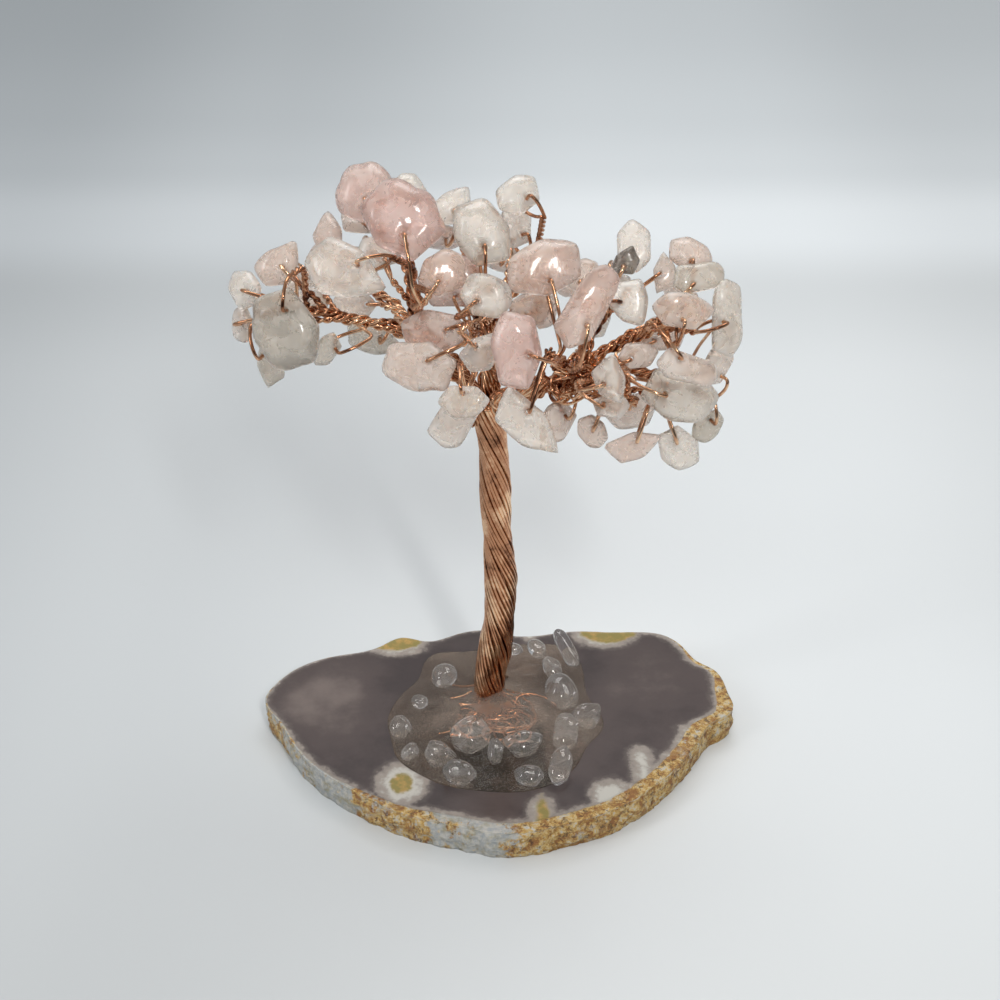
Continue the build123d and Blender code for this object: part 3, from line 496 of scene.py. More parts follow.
# Tumbled quartz: cloudy, a little see-through, each chip with a tone of its own, with veils and specks
def quartzMaterial():
    material, shader, where = newMaterial("tumbledQuartz")
    drift = scaled(noise(where, *quartz["drift"]), 0.24, -0.12)
    color = ramp(plus(attribute(shader, "tone"), drift),
                 ((0.0, quartz["rose"]), (0.30, quartz["blush"]), (0.55, quartz["milk"]),
                  (0.78, quartz["green"]), (1.0, quartz["smoke"])))
    clouds = shares(noise(where, *quartz["clouds"]), (0.46, 0), (0.70, 1))
    stain = shares(noise(where, *quartz["stains"]), (0.54, 0), (0.72, 1))
    stain = times(stain, times(attribute(shader, "stained"), 0.4))
    specks = shares(noise(where, *quartz["specks"]), (0.70, 0), (0.78, 1))
    color = mixColor(times(clouds, 0.3), color, quartz["veil"])
    color = mixColor(stain, color, quartz["speck"])
    color = mixColor(times(specks, 0.3), color, quartz["speck"])
    fill(shader, {
        "Base Color": color,
        "Subsurface Weight": 1.0,
        "Subsurface Radius": (1.0, 0.9, 0.8),
        "Subsurface Scale": quartz["scatter"],
        "IOR": 1.25,
        "Specular IOR Level": 0.3,
        "Roughness": scaled(clouds, 0.15, 0.26),
        "Transmission Weight": scaled(clouds, -0.3, 0.72),
        "Coat Weight": 0.7,
        "Coat Roughness": 0.05,
    })
    dents = times(noise(where, *quartz["dents"]), 1.6)
    height = plus(noise(where, *quartz["ripples"]), dents)
    addBump(shader, height, quartz["bump"], 0.00006)
    lightThrough(shader, quartz["shadow"])
    return material


clear = {
    "glass": (0.96, 0.96, 0.95),
    "veil": (0.66, 0.64, 0.61),
    "shadow": (0.9, 0.9, 0.9),
    "veils": (360, 6, 0.7, 1.0),
    "flaws": (420, 4, 0.6),
}


# Clear quartz: glass with pale veils and small flaws inside, under a bright polish
def crystalMaterial():
    material, shader, where = newMaterial("clearQuartz")
    veils = shares(noise(where, *clear["veils"]), (0.54, 0), (0.76, 1))
    fill(shader, {
        "Base Color": mixColor(veils, clear["glass"], clear["veil"]),
        "Transmission Weight": scaled(veils, -0.24, 0.98),
        "Roughness": 0.03,
        "IOR": 1.13,
        "Coat Weight": 1.0,
        "Coat Roughness": 0.02,
    })
    addBump(shader, noise(where, *clear["flaws"]), 0.35, 0.0001)
    lightThrough(shader, clear["shadow"])
    return material


resin = {
    "clear": (0.78, 0.70, 0.61),
    "dusty": (0.30, 0.235, 0.18),
    "copper": (0.25, 0.11, 0.055),
    "shadow": (0.9, 0.9, 0.9),
    "dust": (2700, 4, 0.7),
    "haze": (260, 5, 0.6),
    "waves": (150, 2, 0.5, 0.4),
    "ripples": (700, 3, 0.5),
}


# Resin: clear, with pale dust through it, a rippled skin, and a copper stain over the roots
def resinMaterial():
    material, shader, where = newMaterial("castResin")
    dust = shares(noise(where, *resin["dust"]), (0.53, 0), (0.64, 1))
    haze = shares(noise(where, *resin["haze"]), (0.38, 0), (0.66, 1))
    cloudy = plus(times(dust, 0.16), times(haze, 0.03))
    stain = times(attribute(shader, "roots"), scaled(haze, 0.5, 0.5))
    color = mixColor(times(cloudy, 3.0), resin["clear"], resin["dusty"])
    color = mixColor(times(stain, 0.8), color, resin["copper"])
    solid = scaled(attribute(shader, "rim"), 0.03, plus(cloudy, times(stain, 0.48)))
    fill(shader, {
        "Base Color": color,
        "Transmission Weight": math("SUBTRACT", 0.99, solid),
        "Roughness": scaled(haze, 0.08, 0.05),
        "IOR": 1.15,
    })
    ripples = times(noise(where, *resin["ripples"]), 0.2)
    height = plus(noise(where, *resin["waves"]), ripples)
    addBump(shader, height, 0.3, 0.0004)
    lightThrough(shader, resin["shadow"])
    return material


agate = {
    "dusk": (0.032, 0.020, 0.020),
    "taupe": (0.066, 0.046, 0.043),
    "light": (0.165, 0.130, 0.115),
    "grey": (0.24, 0.205, 0.18),
    "milky": (0.30, 0.26, 0.225),
    "white": (0.52, 0.50, 0.45),
    "frost": (0.35, 0.37, 0.38),
    "ochre": (0.48, 0.29, 0.08),
    "straw": (0.62, 0.46, 0.20),
    "rust": (0.27, 0.12, 0.04),
    "moss": (0.25, 0.20, 0.05),
    "crack": (0.085, 0.045, 0.025),
    "slow": (90, 5, 0.6),
    "quick": (620, 5, 0.65),
    "grain": (1500, 3, 0.7),
    "earth": (760, 8, 0.8, 0.3),
    "brown": (330, 5, 0.7, 0.5),
    "cracks": (1000, 7, 0.8, 0.6),
    "patches": (300, 7, 0.75),
    "bumps": (900, 6, 0.7),
}


# Agate: a polished dusky field with paler clouds, white lobes along the rim with mossy cores, and a rough
# wall of frosty sugar with earthy patches. "white" and "core" are distances in millimetres outside the
# lobes and their cores, "ochre", "cloud" and "wall" are shares.
def agateMaterial():
    material, shader, where = newMaterial("agateSlice")
    white, core, ochre, cloud, wall = [attribute(shader, key)
                                       for key in ("white", "core", "ochre", "cloud", "wall")]
    slow = noise(where, *agate["slow"])
    quick = noise(where, *agate["quick"])
    grain = noise(where, *agate["grain"])
    wander = plus(scaled(slow, 1.1, -0.55), scaled(quick, 2.2, -1.1))

    cloud = plus(cloud, scaled(slow, 1.5, -0.79))
    color = ramp(cloud, ((0.0, agate["dusk"]), (0.45, agate["taupe"]), (1.0, agate["light"])))
    color = mixColor(times(grain, 0.12), color, agate["light"])

    way = scaled(plus(white, wander), 0.25, 0.5)
    whites = ramp(scaled(quick, 0.5, math("SUBTRACT", way, 0.25)),
                  ((0.0, agate["white"]), (0.32, agate["milky"]), (0.5, agate["grey"])))
    color = mixColor(shares(way, (0.42, 1), (0.50, 0.6), (0.54, 0.2), (0.74, 0)), color, whites)
    way = scaled(plus(core, times(wander, 0.8)), 0.4, 0.5)
    mossy = ramp(quick, ((0.42, agate["moss"]), (0.70, agate["ochre"]), (0.92, agate["straw"])))
    color = mixColor(shares(way, (0.36, 1), (0.62, 0)), color, mossy)

    sugar = mixColor(shares(grain, (0.36, 0), (0.66, 1)), agate["frost"], agate["white"])
    sugar = mixColor(shares(quick, (0.46, 0), (0.66, 0.5)), sugar, agate["moss"])
    earth = ramp(noise(where, *agate["earth"]),
                 ((0.42, agate["rust"]), (0.48, agate["ochre"]),
                  (0.54, agate["straw"]), (0.60, agate["white"])))
    brown = shares(noise(where, *agate["brown"]), (0.50, 0), (0.66, 0.75))
    earth = mixColor(brown, earth, agate["rust"])
    cracks = shares(noise(where, *agate["cracks"]), (0.40, 0.85), (0.48, 0))
    earth = mixColor(cracks, earth, agate["crack"])
    patch = plus(ochre, scaled(noise(where, *agate["patches"]), 3.4, -1.7))
    rind = mixColor(shares(patch, (0.36, 0), (0.64, 1)), sugar, earth)
    way = plus(wall, scaled(quick, 1.4, -0.7))
    color = mixColor(shares(way, (0.36, 0), (0.62, 1)), color, rind)

    fill(shader, {
        "Base Color": color,
        "Subsurface Weight": 0.2,
        "Subsurface Radius": (1.0, 0.9, 0.8),
        "Subsurface Scale": 0.001,
        "Roughness": scaled(wall, 0.35, 0.30),
        "IOR": 1.54,
    })
    bumps = times(noise(where, *agate["bumps"]), scaled(wall, 1.0, 0.03))
    addBump(shader, bumps, 0.8, 0.0004)
    return material


copperWire = copperMaterial()
tumbledQuartz = quartzMaterial()
clearQuartz = crystalMaterial()
castResin = resinMaterial()
agateSlice = agateMaterial()
print("materials made")

# Limbs and boughs
rope = {
    "limbStrands": 9,
    "limbWire": 0.27,
    "limbPitch": 12.0,
    "limbPairs": 2,
    "limbPairOffset": (0.48, 0.15),      # the least, and how much more lumps add
    "limbPairPitch": 17.6,
    "boughPairs": 3,
    "boughPairOffset": (0.62, 0.22),
    "boughPairPitch": 11.0,
    "taper": (0.8, 0.2, 0.4),      # from and over these shares of a bough, by this share
    "lumpLength": 6.0,
    "wire": 0.24,
    "twistPitch": 3.4,
    "leadIn": 3.0,
    "cut": 3.0,
    "samples": 230,
    "sides": 8,
    "rodSides": 6,      # of the rods in the CAD
}
corePoints = readNode("trunk_core")[0]
crown = atHeight(corePoints, corePoints[:, 2].max()).mean(axis=0)
rodLines = {name: rodLine(*readNode(name), rope["rodSides"], crown)
            for name in nodeNames if name.endswith(("_limb", "_bough"))}


# Lines laid round a line at an offset, each turning once in every pitch
def strandLines(line, count, offset, pitch, phase):
    across, over = carriedAcross(line[None])
    turn = -2 * np.pi * lengthAlong(line) / pitch + phase
    angle = turn[None, :, None] + 2 * np.pi * np.arange(count)[:, None, None] / count
    offset = np.broadcast_to(offset, len(line))[None, :, None]
    return line[None] + offset * turned(angle, across, over)


# Loose curls: part turns of a circle at random tilts about places round a centre, squeezed to a share
def curls(values, rng, samples=40):
    count = values["count"]
    middles = values["centre"] + rng.normal(size=(count, 1, 3)) * values["reach"]
    first = unit(rng.normal(size=(count, 1, 3)))
    second = unit(np.cross(first, rng.normal(size=(count, 1, 3))))
    turn = np.linspace(0, 1, samples)[None, :, None] * 2 * np.pi * values["turns"]
    angle = turn + rng.uniform(0, 6, (count, 1, 1))
    radius = rng.uniform(*values["radii"], (count, 1, 1)) * (1 + 0.15 * np.sin(2.3 * angle))
    return middles + radius * turned(angle, first, second) * values["squeeze"]


# The tangle of loose wire at the right fork
nest = {
    "centre": (10.6, -4.6, 63.3),
    "reach": (2.0, 0.9, 0.8),
    "radii": (1.1, 2.1),
    "count": 22,
    "turns": 0.8,
    "squeeze": 1.0,
    "wire": 0.23,
}
smoothLines = {}
rng = np.random.default_rng(23)
for name, line in rodLines.items():
    backward = unit(line[0] - line[1]) * rope["leadIn"]
    line = roundedLine(np.concatenate((line[:1] + backward, line)), rope["cut"], rope["samples"])
    smoothLines[name] = line
    share = np.linspace(0, 1, len(line))
    wander = lumps(line + 30 * len(name), rope["lumpLength"], rng)
    surfaces = []
    if name.endswith("_limb"):
        ring = rope["limbWire"] / np.sin(np.pi / rope["limbStrands"])
        lines = strandLines(line, rope["limbStrands"], ring, rope["limbPitch"], len(name))
        surfaces.append(wireSurface(lines, rope["limbWire"], rope["sides"]))
        surfaces.append(wireSurface(line[None], ring, rope["sides"]))
        least, more = rope["limbPairOffset"]
        offset = ring + least + more * wander
        pairs = strandLines(line, rope["limbPairs"], offset, rope["limbPairPitch"], len(name) * 2.0)
    else:
        start, over, less = rope["taper"]
        narrow = 1 - less * np.clip((share - start) / over, 0, 1)
        least, more = rope["boughPairOffset"]
        offset = (least + more * wander) * narrow
        pairs = strandLines(line, rope["boughPairs"], offset, rope["boughPairPitch"], len(name) * 1.0)
    for number, pairLine in enumerate(pairs):
        two = strandLines(pairLine, 2, rope["wire"], rope["twistPitch"], number + len(name))
        surfaces.append(wireSurface(two, rope["wire"], rope["sides"]))
    if name == "right_limb":
        loose = curls(nest, np.random.default_rng(4))
        surfaces.append(wireSurface(loose, nest["wire"], rope["sides"]))
    piece = makePiece(name + "Wires", surfaces, copperWire)
    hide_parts(name)
print("limbs and boughs made")

# Trunk: strands round an oval that turns with its height. "thicker" is a share at heights in millimetres.
trunk = {
    "strands": 24,
    "wire": 0.28,
    "heart": 1.62,
    "heartSides": 16,
    "broad": 2.0,
    "narrow": 1.74,
    "ovalPitch": 29.0,
    "strandPitch": 36.0,
    "samples": 150,
    "sides": 8,
    "smooth": 17,
    "uneven": 0.10,
    "unevenLength": 21,
    "startSpread": 0.06,
    "thicker": ((0, 1.16), (26, 1.12), (38, 1.02), (60, 1.0)),
}
levels = np.unique(np.round(corePoints[:, 2], 2))
trunkAxis = np.array([atHeight(corePoints, level, 0.02).mean(axis=0) for level in levels])
height = np.linspace(levels[0], levels[-1], trunk["samples"])
axis = np.column_stack([np.interp(height, levels, trunkAxis[:, column]) for column in range(3)])
kernel = np.hanning(trunk["smooth"])
kernel /= kernel.sum()
axis[:, 0] = np.convolve(np.pad(axis[:, 0], trunk["smooth"] // 2, mode="edge"), kernel, mode="valid")
rng = np.random.default_rng(11)
number = np.arange(trunk["strands"])[:, None]
spread = trunk["startSpread"]
start = 2 * np.pi * number / trunk["strands"] + rng.uniform(-spread, spread, (len(number), 1))
twist = -2 * np.pi * height / trunk["ovalPitch"]
around = start - 2 * np.pi * height[None] / trunk["strandPitch"] - twist
spots = np.dstack((height[None] + 40 * number, 3 * number + 0 * height, 0 * height + 0 * number))
uneven = 1 + trunk["uneven"] * lumps(spots, trunk["unevenLength"], rng) / 2
uneven = uneven * np.interp(height, *np.transpose(trunk["thicker"]))
broad = trunk["broad"] * uneven * np.cos(around)
narrow = trunk["narrow"] * uneven * np.sin(around)
lines = np.dstack((axis[:, 0] + broad * np.cos(twist) - narrow * np.sin(twist),
                   axis[:, 1] + broad * np.sin(twist) + narrow * np.cos(twist),
                   np.broadcast_to(height, broad.shape)))
surface = wireSurface(lines, trunk["wire"], trunk["sides"])
piece = makePiece("trunkWires", [surface], copperWire)
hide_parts("trunk_strands")
surface = wireSurface(axis[None], trunk["heart"], trunk["heartSides"])
piece = makePiece("trunkHeart", [surface], copperWire)
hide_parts("trunk_core")
print("trunk made")

# Chips and their twigs
twig = {
    "wire": 0.245,
    "pair": 0.25,
    "pitch": 2.4,
    "lift": 0.55,
    "arch": 0.5,
    "leadIn": 2.4,
    "seat": 0.5,
    "stemCut": 2.6,
    "flat": 0.98,      # least cosine between the hole and a face that the hook passes
    "hookBack": 1.2,
    "hookShares": (0.8, 0.45, 0.96),      # of the lift, of the way out and of the top
    "hookCuts": (0, 1.0, 1.2, 0.6, 0.6, 1.2, 1.0, 0),
    "stemSamples": 90,
    "hookSamples": 80,
    "samples": 240,
    "sides": 8,
}
chips = {name: [readFaces(*solid) for solid in splitSolids(*readNode(name))]
         for name in nodeNames if name.endswith(("_stones", "_stone"))}
twigSolids = {name: splitSolids(*readNode(name)) for name in nodeNames if name.endswith("_twigs")}


# How far a solid is from the two places that the hook of a hole passes, over and under the chip
def hookMiss(solid, hole, axis, lift):
    over = norms(solid[0] - hole - axis * lift).min()
    under = norms(solid[0] - hole + axis * lift).min()
    return over + under


# The wire of one chip: out of its bough and along the twig as one half of a twisted pair, round over the
# chip and through its hole, and back along the twig as the other half
def hookedWire(values, hook, others, bough, hole, axis, lift):
    offset = hook - hole
    out = unit(offset.mean(axis=0) - axis * (offset.mean(axis=0) @ axis))
    extent = (offset @ out).max()
    end = hole + out * extent
    stem = min(others, key=lambda solid: np.sort(norms(solid[0] - end))[:4].sum())
    ring = np.argsort(norms(stem[0] - end))[:4]
    middles = ringMiddles(*stem, ring, 3)
    end, bend, nearRoot = middles[0], middles[1], middles[-1]
    spot = max(norms(bough - nearRoot).argmin(), 2)
    seat = bough[spot]
    boughWay = unit(bough[min(spot + 1, len(bough) - 1)] - bough[spot - 1])
    sideways = unit((bend - seat) - boughWay * ((bend - seat) @ boughWay))
    seat = seat + sideways * values["seat"]
    corners = [seat - boughWay * values["leadIn"], seat, bend, end]
    line = roundedLine(corners, values["stemCut"], values["stemSamples"])
    across, over = [way[0] for way in carriedAcross(line[None])]
    steps = lengthAlong(line)
    finish = np.arctan2(axis @ over[-1], axis @ across[-1])
    turn = finish + 2 * np.pi * (steps[-1] - steps) / values["pitch"]
    way = turned(turn[:, None], across, over)
    far = extent - values["hookBack"]
    rise = lift + values["arch"]
    first, second, third = values["hookShares"]
    above = [hole + out * far + axis * lift * first,
             hole + out * far * second + axis * rise,
             hole + axis * rise * third]
    under = [point - 2 * axis * ((point - hole) @ axis) for point in above[::-1]]
    there = line + way * values["pair"]
    back = (line - way * values["pair"])[::-1]
    loop = roundedLine([there[-1], *above, *under, back[0]], values["hookCuts"], values["hookSamples"])
    return evenly(np.concatenate((there, loop[1:-1], back)), values["samples"])


wireLines = {name: [] for name in twigSolids}
for name, solids in chips.items():
    candidates = [name.replace("_stones", "_twigs")] if name.endswith("_stones") else twigSolids
    for (normals, reach), hole, axis in solids:
        lift = (reach - normals @ hole)[np.abs(normals @ axis) > twig["flat"]].min() + twig["lift"]
        node, index = min(((node, index) for node in candidates for index in range(len(twigSolids[node]))),
                          key=lambda pair: hookMiss(twigSolids[pair[0]][pair[1]], hole, axis, lift))
        others = [solid for number, solid in enumerate(twigSolids[node]) if number != index]
        bough = smoothLines[node.replace("_twigs", "_bough")]
        wireLines[node].append(hookedWire(twig, twigSolids[node][index][0], others, bough, hole, axis, lift))
for node, lines in wireLines.items():
    surface = wireSurface(np.array(lines), twig["wire"], twig["sides"])
    piece = makePiece(node + "Wires", [surface], copperWire)
    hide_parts(node)
print("twigs made")

# Tones from left to right: 0 is rose, 0.3 blush, 0.55 milk, 0.78 greenish and 1 smoky
tones = {
    # The fourth chip's tone, 0.84, is partly its own grey-beige and partly painted shade, darker than the
    # chip is
    "left_outer": (0.45, 0.60, 0.35, 0.84, 0.40, 0.50, 0.70),
    "left_back": (0.30, 0.25, 0.40, 0.50, 0.70),
    "left_top": (0.58, 0.40, 0.12, 0.55, 0.05, 0.60, 0.25),
    "centre_top": (0.20, 0.15, 0.55, 0.65, 0.62),
    "centre_back": (0.35, 0.60, 0.45, 0.30, 0.30, 0.30),
    "centre_front": (0.35, 0.18, 0.60, 0.58),
    "right_low": (0.30, 0.28, 0.60, 0.45, 0.40),
    "right_front": (0.05, 0.22, 0.18),
    "right_inner": (0.35, 0.60, 0.50, 0.58, 1.0, 0.50, 0.38),
    "right_outer": (0.42, 0.40, 0.30, 0.70, 0.35, 0.63),
    "right_back": (0.35, 0.66, 0.30, 0.45, 0.60),
    "dangle_left": (0.70,),
    "dangle_front_left": (0.45,),
    "dangle_front": (0.50,),
    "dangle_right_inner": (0.22,),
    "dangle_right_middle": (0.60,),
    "dangle_right_end": (0.76,),
}
rng = np.random.default_rng(7)
for name, solids in chips.items():
    body = name.removesuffix("_stone") if name.endswith("_stone") else root
    form = dict(chip, grow=chip["danglingGrow"]) if body != root else chip
    surfaces = [drilledChip(*solid, rng, form) for solid in solids]
    own = tones[name.rsplit("_", 1)[0]]
    attributes = {"tone": own, "stained": rng.uniform(0, 1, len(solids)) ** 2}
    piece = makePiece(name + "Polished", surfaces, tumbledQuartz, attributes, body)
    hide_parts(name)
print("chips made")

# Clear chips on the pool
crystal = dict(chip, edge=9, grow=1.12, around=40, section=24, lumpDepth=0.035, lumpLength=3.2)
for name in ("crystals_left", "crystals_front", "crystals_right"):
    surfaces = []
    for points, triangles in splitSolids(*readNode(name)):
        planes = readFaces(points, triangles)[0]
        surfaces.append(wholeChip(planes, points.mean(axis=0), rng, crystal))
    piece = makePiece(name + "Clear", surfaces, clearQuartz)
    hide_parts(name)

# Roots, and the fine curls round them under the resin
rootValues = {
    "wire": 0.27,
    "wireSides": 8,
    "fine": 0.20,
    "fineSides": 6,
    "cut": 1.5,
    "samples": 30,
    "rodSides": 5,      # of the rods in the CAD
}
slabTop = readNode("agate_slab")[0][:, 2].max()
tangle = {
    "centre": (1.0, -5.6, slabTop + 0.5),
    "reach": (3.4, 2.0, 0.1),
    "radii": (1.2, 3.4),
    "count": 34,
    "turns": 0.7,
    "squeeze": (1, 1, 0.08),
}
lines = []
for solid in splitSolids(*readNode("root_wires")):
    line = rodLine(*solid, rootValues["rodSides"], trunkAxis[0])
    lines.append(roundedLine(line, rootValues["cut"], rootValues["samples"]))
surfaces = [wireSurface(np.array(lines), rootValues["wire"], rootValues["wireSides"]),
            wireSurface(curls(tangle, rng), rootValues["fine"], rootValues["fineSides"])]
piece = makePiece("rootWiresRound", surfaces, copperWire)
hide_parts("root_wires")
print("roots and clear chips made")


# Slab and pool
# Distance from a middle to an outline, at each angle
def outlineReach(points, middle, angles):
    flat = points[:, :2] - middle
    own = np.arctan2(flat[:, 1], flat[:, 0])
    order = np.argsort(own)
    own = own[order]
    reach = norms(flat)[order]
    own = np.concatenate((own - 2 * np.pi, own, own + 2 * np.pi))
    return np.interp(angles, own, np.tile(reach, 3))


# Places in X and Y at a reach from a middle, at each angle
def roundPlaces(middle, reach, angles):
    return middle[0] + reach * np.cos(angles), middle[1] + reach * np.sin(angles)


# Faces between rings of points, with a cap on the first and the last ring
def ringFaces(rings, around):
    cap = np.arange(around)[None]
    return [gridFaces(rings, around, False, True), cap, cap[:, ::-1] + (rings - 1) * around]


# Distance outside an ellipse, about
def ellipse(x, y, centreX, centreY, radiusX, radiusY):
    return (np.hypot((x - centreX) / radiusX, (y - centreY) / radiusY) - 1) * min(radiusX, radiusY)


# Distance outside a rounded bar
def bar(x, y, start, end, radius):
    along = np.subtract(end, start)
    share = np.clip(((x - start[0]) * along[0] + (y - start[1]) * along[1]) / (along @ along), 0, 1)
    return np.hypot(x - start[0] - share * along[0], y - start[1] - share * along[1]) - radius


# Tables against the angle round the slab in degrees: how wide the white border and the band of rind on
# top are, in millimetres, and the share of earthy patches. Lobes and cores are ellipses with a centre
# and two radii, the finger is a bar with two ends and a radius, and a cloud has a centre, a size and a
# share.
slab = {
    "around": 460,
    "rings": 110,
    "wall": 24,
    "rough": 0.55,
    "lumps": ((5.0, 0.5), (2.1, 0.45), (0.9, 0.3)),      # length in millimetres and share
    "bulge": (0.42, 0.7),      # how far, and the power of its sine
    "ringPower": 0.75,
    "underStep": 9,      # every ninth ring goes on under the slab
    "bandSoft": 0.6,
    "middle": (1.5, -4.0),
    "border": ((-180, 0.8), (-140, 1.2), (-117, 2.4), (-88, 3.0), (-70, 2.8), (-30, 3.2), (2, 3.8), (20, 1.4),
               (60, 0.4), (110, 0.2), (140, 0.3), (165, 0.3), (180, 0.8)),
    "band": ((-180, 0.3), (-150, 0.3), (-135, 1.1), (-112, 1.8), (-90, 2.1), (-78, 1.9), (-30, 2.2), (5, 2.6),
             (20, 0.8), (40, 0.0), (150, 0.0), (180, 0.3)),
    "ochre": ((-180, 0.60), (-165, 0.40), (-150, 0.15), (-140, 0.65), (-118, 0.75), (-106, 0.10), (-94, 0.15),
              (-82, 0.95), (-30, 1.0), (20, 0.95), (40, 0.6), (90, 0.3), (130, 0.6), (150, 0.2), (165, 0.35),
              (180, 0.60)),
    "lobes": ((-12.9, -18.6, 4.0, 5.0), (7.4, -24.4, 2.2, 3.6), (17.4, -21.0, 3.4, 3.6),
              (30.2, -7.2, 2.4, 2.2), (-15.2, 15.0, 5.4, 3.7), (18.2, 17.6, 5.6, 4.2),
              (6.1, 16.6, 1.4, 1.8), (27.5, -14.0, 2.0, 2.0)),
    "finger": ((22.3, -12.2), (22.6, -20.0), 2.0),
    "cores": ((-12.9, -18.6, 1.7, 2.2), (7.5, -25.0, 1.0, 3.2), (-15.6, 15.8, 4.5, 2.9),
              (18.8, 18.4, 4.7, 3.5)),
    "cloud": 0.22,
    "clouds": ((-24, 1, 90, 0.60), (26, 8, 60, 0.4), (-4, -23, 30, 0.25), (-13, 6, 60, -0.35)),
}


# The slab: rings from the middle of its top to the rim, down a rough wall, and back to the middle of its
# underside. The wall is the outline, bulged a little, less a depth that lumps of three sizes give.
def slabSurface(values, rng):
    points = readNode("agate_slab")[0]
    top = points[:, 2].max()
    middle = np.array(values["middle"])
    around, rings, wallRings = values["around"], values["rings"], values["wall"]
    angles = np.linspace(-np.pi, np.pi, around, endpoint=False)
    outline = outlineReach(atHeight(points, top), middle, angles)
    low = outlineReach(atHeight(points, 0), middle, angles)
    share = np.linspace(0.004, 1, rings) ** values["ringPower"]
    down = np.linspace(0, 1, wallRings + 2)[1:-1, None]
    back = share[::-values["underStep"], None]
    bulge, power = values["bulge"]
    wall = outline + (low - outline) * down + bulge * np.sin(np.pi * down) ** power
    reach = np.concatenate((outline * share[:, None], wall, low * back))
    height = np.concatenate((np.full_like(share, top)[:, None], top * (1 - down), 0 * back)) * np.ones(around)
    places = np.dstack((*roundPlaces(middle, reach, angles), height))
    rough = 0.5
    for length, lumpShare in values["lumps"]:
        rough = rough + lumpShare * lumps(places, length, rng)
    row = np.arange(len(reach))[:, None]
    wallShare = np.clip((wallRings / 2 + 1.2 - np.abs(row - rings - wallRings / 2)) / 2.5, 0, 1)
    reach = reach - values["rough"] * np.clip(rough, 0, 2) * wallShare
    x, y = roundPlaces(middle, reach, angles)
    border, band, ochre = [np.interp(np.degrees(angles), *np.transpose(values[key]))
                           for key in ("border", "band", "ochre")]
    inside = np.where(row < rings, outline - reach, 0)
    white = np.minimum(inside - border, bar(x, y, *values["finger"]))
    for lobe in values["lobes"]:
        white = np.minimum(white, ellipse(x, y, *lobe))
    core = np.full_like(white, 9.0)
    for lobe in values["cores"]:
        core = np.minimum(core, ellipse(x, y, *lobe))
    cloud = values["cloud"]
    for cloudX, cloudY, size, cloudShare in values["clouds"]:
        cloud = cloud + cloudShare * np.exp(-((x - cloudX) ** 2 + (y - cloudY) ** 2) / size)
    band = np.clip((band - inside) / values["bandSoft"] + 0.5, 0, 1)
    wallColor = np.maximum(wallShare, np.where(row < rings, band, 0))
    wallColor[rings + wallRings:] = 1
    attributes = {"white": white, "core": core, "ochre": ochre * np.ones_like(x),
                  "cloud": cloud, "wall": wallColor}
    attributes = {key: [grid.ravel()] for key, grid in attributes.items()}
    return (np.dstack((x, y, height)).reshape(-1, 3), ringFaces(len(reach), around)), attributes


surface, attributes = slabSurface(slab, np.random.default_rng(3))
piece = makePiece("agateSlab", [surface], agateSlice, attributes)
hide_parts("agate_slab")

pool = {
    "around": 220,
    "rings": 70,
    "power": 1.3,
    "wave": 0.16,
    "waves": (7.0, 3.0),      # lengths
    "smooth": 11,
    "waver": 0.03,
    "clearOf": 0.02,      # height over the slab
    "foot": 8.0,      # corners nearer to the middle than this go round the trunk
    "stain": ((1.2, 8.0), (-5.5, 4.5)),      # place and size of the copper stain, in X and in Y
}


# The pool: a dome of height * (1 - share ^ 2) ^ power, with slow waves on it, that thins out to its rim,
# which is the outline's running mean
def poolSurface(values, rng):
    points = readNode("resin_pool")[0]
    around, rings = values["around"], values["rings"]
    base = points[:, 2].min()
    top = points[:, 2].max() - base
    rim = atHeight(points, base)
    middle = (rim[:, :2].max(axis=0) + rim[:, :2].min(axis=0)) / 2
    angles = np.linspace(-np.pi, np.pi, around, endpoint=False)
    far = norms(rim[:, :2] - middle) > values["foot"]
    outline = outlineReach(rim[far], middle, angles)
    window = np.ones(values["smooth"]) / values["smooth"]
    outline = np.convolve(np.tile(outline, 3), window, "same")[around:2 * around]
    circle = np.column_stack((np.cos(angles), np.sin(angles), 0 * angles))
    outline = outline * (1 + values["waver"] * lumps(circle * 9, 6.0, rng) - values["waver"])
    share = np.linspace(0.01, 1, rings)[:, None]
    reach = outline * share
    x, y = roundPlaces(middle, reach, angles)
    flat = np.dstack((x, y, 0 * reach))
    long, short = values["waves"]
    ripple = lumps(flat, long, rng) + 0.5 * lumps(flat, short, rng)
    waves = 0.9 + values["wave"] * ripple * (1 - share)
    height = base + top * (1 - share ** 2) ** values["power"] * waves + values["clearOf"]
    (stainX, wide), (stainY, deep) = values["stain"]
    roots = np.exp(-((x - stainX) / wide) ** 2 - ((y - stainY) / deep) ** 2)
    attributes = {"roots": [roots.ravel()], "rim": [(share * np.ones_like(reach)).ravel() ** 4]}
    return (np.dstack((x, y, height)).reshape(-1, 3), ringFaces(rings, around)), attributes


surface, attributes = poolSurface(pool, np.random.default_rng(5))
piece = makePiece("resinPool", [surface], castResin, attributes)
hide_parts("resin_pool")
print("slab and pool made")
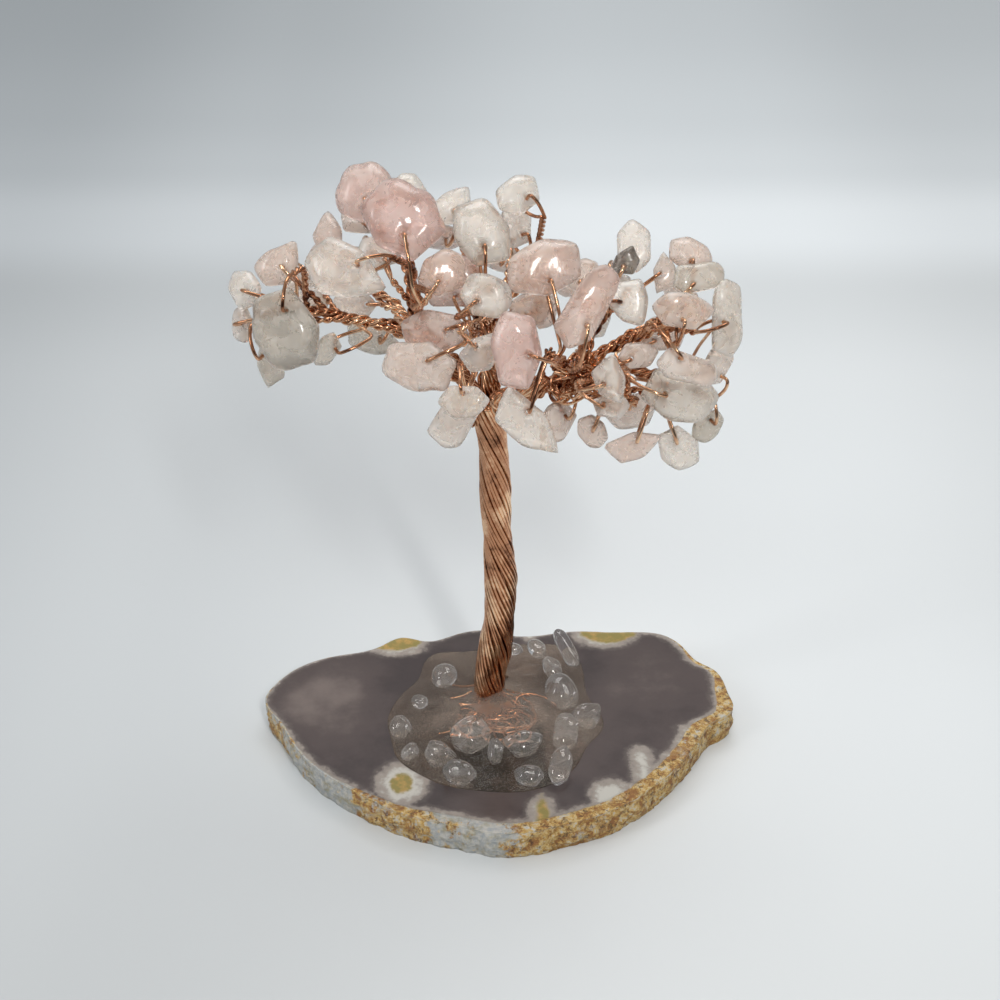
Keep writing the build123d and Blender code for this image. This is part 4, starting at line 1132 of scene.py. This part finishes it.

# Floor: a flat plane of paper whose colour holds painted light and shade, along Y by these colours and across
# by "sides"
stage = {
    "near": (0.62, 0.64, 0.64),
    "middle": (0.75, 0.78, 0.79),
    "low": (0.69, 0.72, 0.73),
    # A painted highlight along the line where the paper would turn up, then painted shade behind it
    "foldPaintedHighlight": (0.83, 0.87, 0.89),
    "slope": (0.71, 0.75, 0.77),
    "wall": (0.66, 0.70, 0.72),
    "far": (0.62, 0.66, 0.68),
    # Painted shade across X: darker on the left, brightest right of the middle
    "sides": ((0.0, (0.62, 0.63, 0.64)), (0.25, (0.76, 0.765, 0.77)), (0.62, (1.0, 1.0, 1.0)),
              (0.78, (0.99, 0.99, 0.99)), (1.0, (0.88, 0.88, 0.88))),
    "along": (-0.2, 0.5),      # metres
    "across": (-0.12, 0.12),
    "world": 0.62,
}
bpy.ops.mesh.primitive_plane_add(size=8)
floor = bpy.context.object
floor.name = "floor"
material, shader, where = newMaterial("floorPaperPaintedLight")
split = addNode(shader, "SeparateXYZ")
fill(split, {0: where})
# Painted shade in front (near) and before the fold (low), a painted highlight at the fold, painted shade
# behind it
color = ramp(mapRange(split.outputs["Y"], *stage["along"]),
             ((0.12, stage["near"]), (0.34, stage["middle"]), (0.44, stage["middle"]), (0.50, stage["low"]),
              (0.543, stage["foldPaintedHighlight"]), (0.558, stage["foldPaintedHighlight"]), (0.60, stage["slope"]), (0.65, stage["wall"]),
              (0.75, stage["far"])))
# Painted shade, darker on the left
shade = ramp(mapRange(split.outputs["X"], *stage["across"]), stage["sides"])
color = mixColor(1.0, color, shade, "MULTIPLY")
color = mixColor(times(noise(where, 900, 3, 0.6), 0.05), color, stage["far"])
fill(shader, {"Base Color": color, "Roughness": 0.75})
floor.data.materials.append(material)

# The world is bright overhead, behind and on the left, and dim in front on the right, so that the wire
# has a light side and a dark side
world = bpy.data.worlds.new("studio")
scene.world = world
world.use_nodes = True
background = world.node_tree.nodes["Background"]
split = addNode(background, "SeparateXYZ")
fill(split, {0: addNode(background, "TexCoord").outputs["Generated"]})
upward = ramp(split.outputs["Z"],
              ((0.0, (0.40, 0.42, 0.44)), (0.35, (0.70, 0.73, 0.76)), (0.9, (1.0, 1.0, 1.0))))
facing = scaled(split.outputs["X"], -0.5, times(split.outputs["Y"], 0.86))
behind = ramp(mapRange(facing, -1.0, 1.0),
              ((0.08, (0.16, 0.16, 0.17)), (0.40, (0.62, 0.62, 0.63)), (0.75, (1.0, 1.0, 1.0))))
glow = mixColor(1.0, upward, behind, "MULTIPLY")
fill(background, {"Color": glow, "Strength": stage["world"]})

# Lamps: place, size, power, colour, and whether polished things mirror them
lamps = {
    "stripLamp": ((0.16, -0.52, 0.54), (0.05, 0.18), 1.3, (1.0, 0.99, 0.97), True),
    "frontLamp": ((0.05, -0.50, 0.62), (0.45, 0.35), 2.2, (1.0, 0.99, 0.98), False),
    "leftLamp": ((-0.48, -0.22, 0.40), (0.10, 0.30), 0.6, (0.97, 0.98, 1.0), True),
    "topLamp": ((0.05, 0.25, 0.62), (0.40, 0.30), 1.3, (1.0, 1.0, 1.0), True),
}
lampTarget = Vector((0, 0, 0.05))
for name, (place, size, power, color, mirrored) in lamps.items():
    data = bpy.data.lights.new(name, "AREA")
    data.shape = "RECTANGLE"
    data.size, data.size_y = size
    data.energy = power
    data.color = color
    lamp = bpy.data.objects.new(name, data)
    lamp.location = place
    lamp.rotation_mode = "QUATERNION"
    lamp.rotation_quaternion = (lampTarget - Vector(place)).to_track_quat("-Z", "Y")
    lamp.visible_glossy = mirrored
    scene.collection.objects.link(lamp)

view = {"place": (1.4, -223.57, 187.19), "look": (1.4, 0.0, 42.0), "lens": 67.18, "sensor": 36}
camera = bpy.data.objects.new("camera", bpy.data.cameras.new("camera"))
scene.collection.objects.link(camera)
camera.data.sensor_width = view["sensor"]
camera.data.lens = view["lens"]
camera.data.clip_start = 0.01
camera.location = Vector(view["place"]) * mm
camera.rotation_mode = "QUATERNION"
camera.rotation_quaternion = (Vector(view["look"]) * mm - camera.location).to_track_quat("-Z", "Y")
scene.camera = camera
scene.view_settings.view_transform = "Standard"
print("stage set")
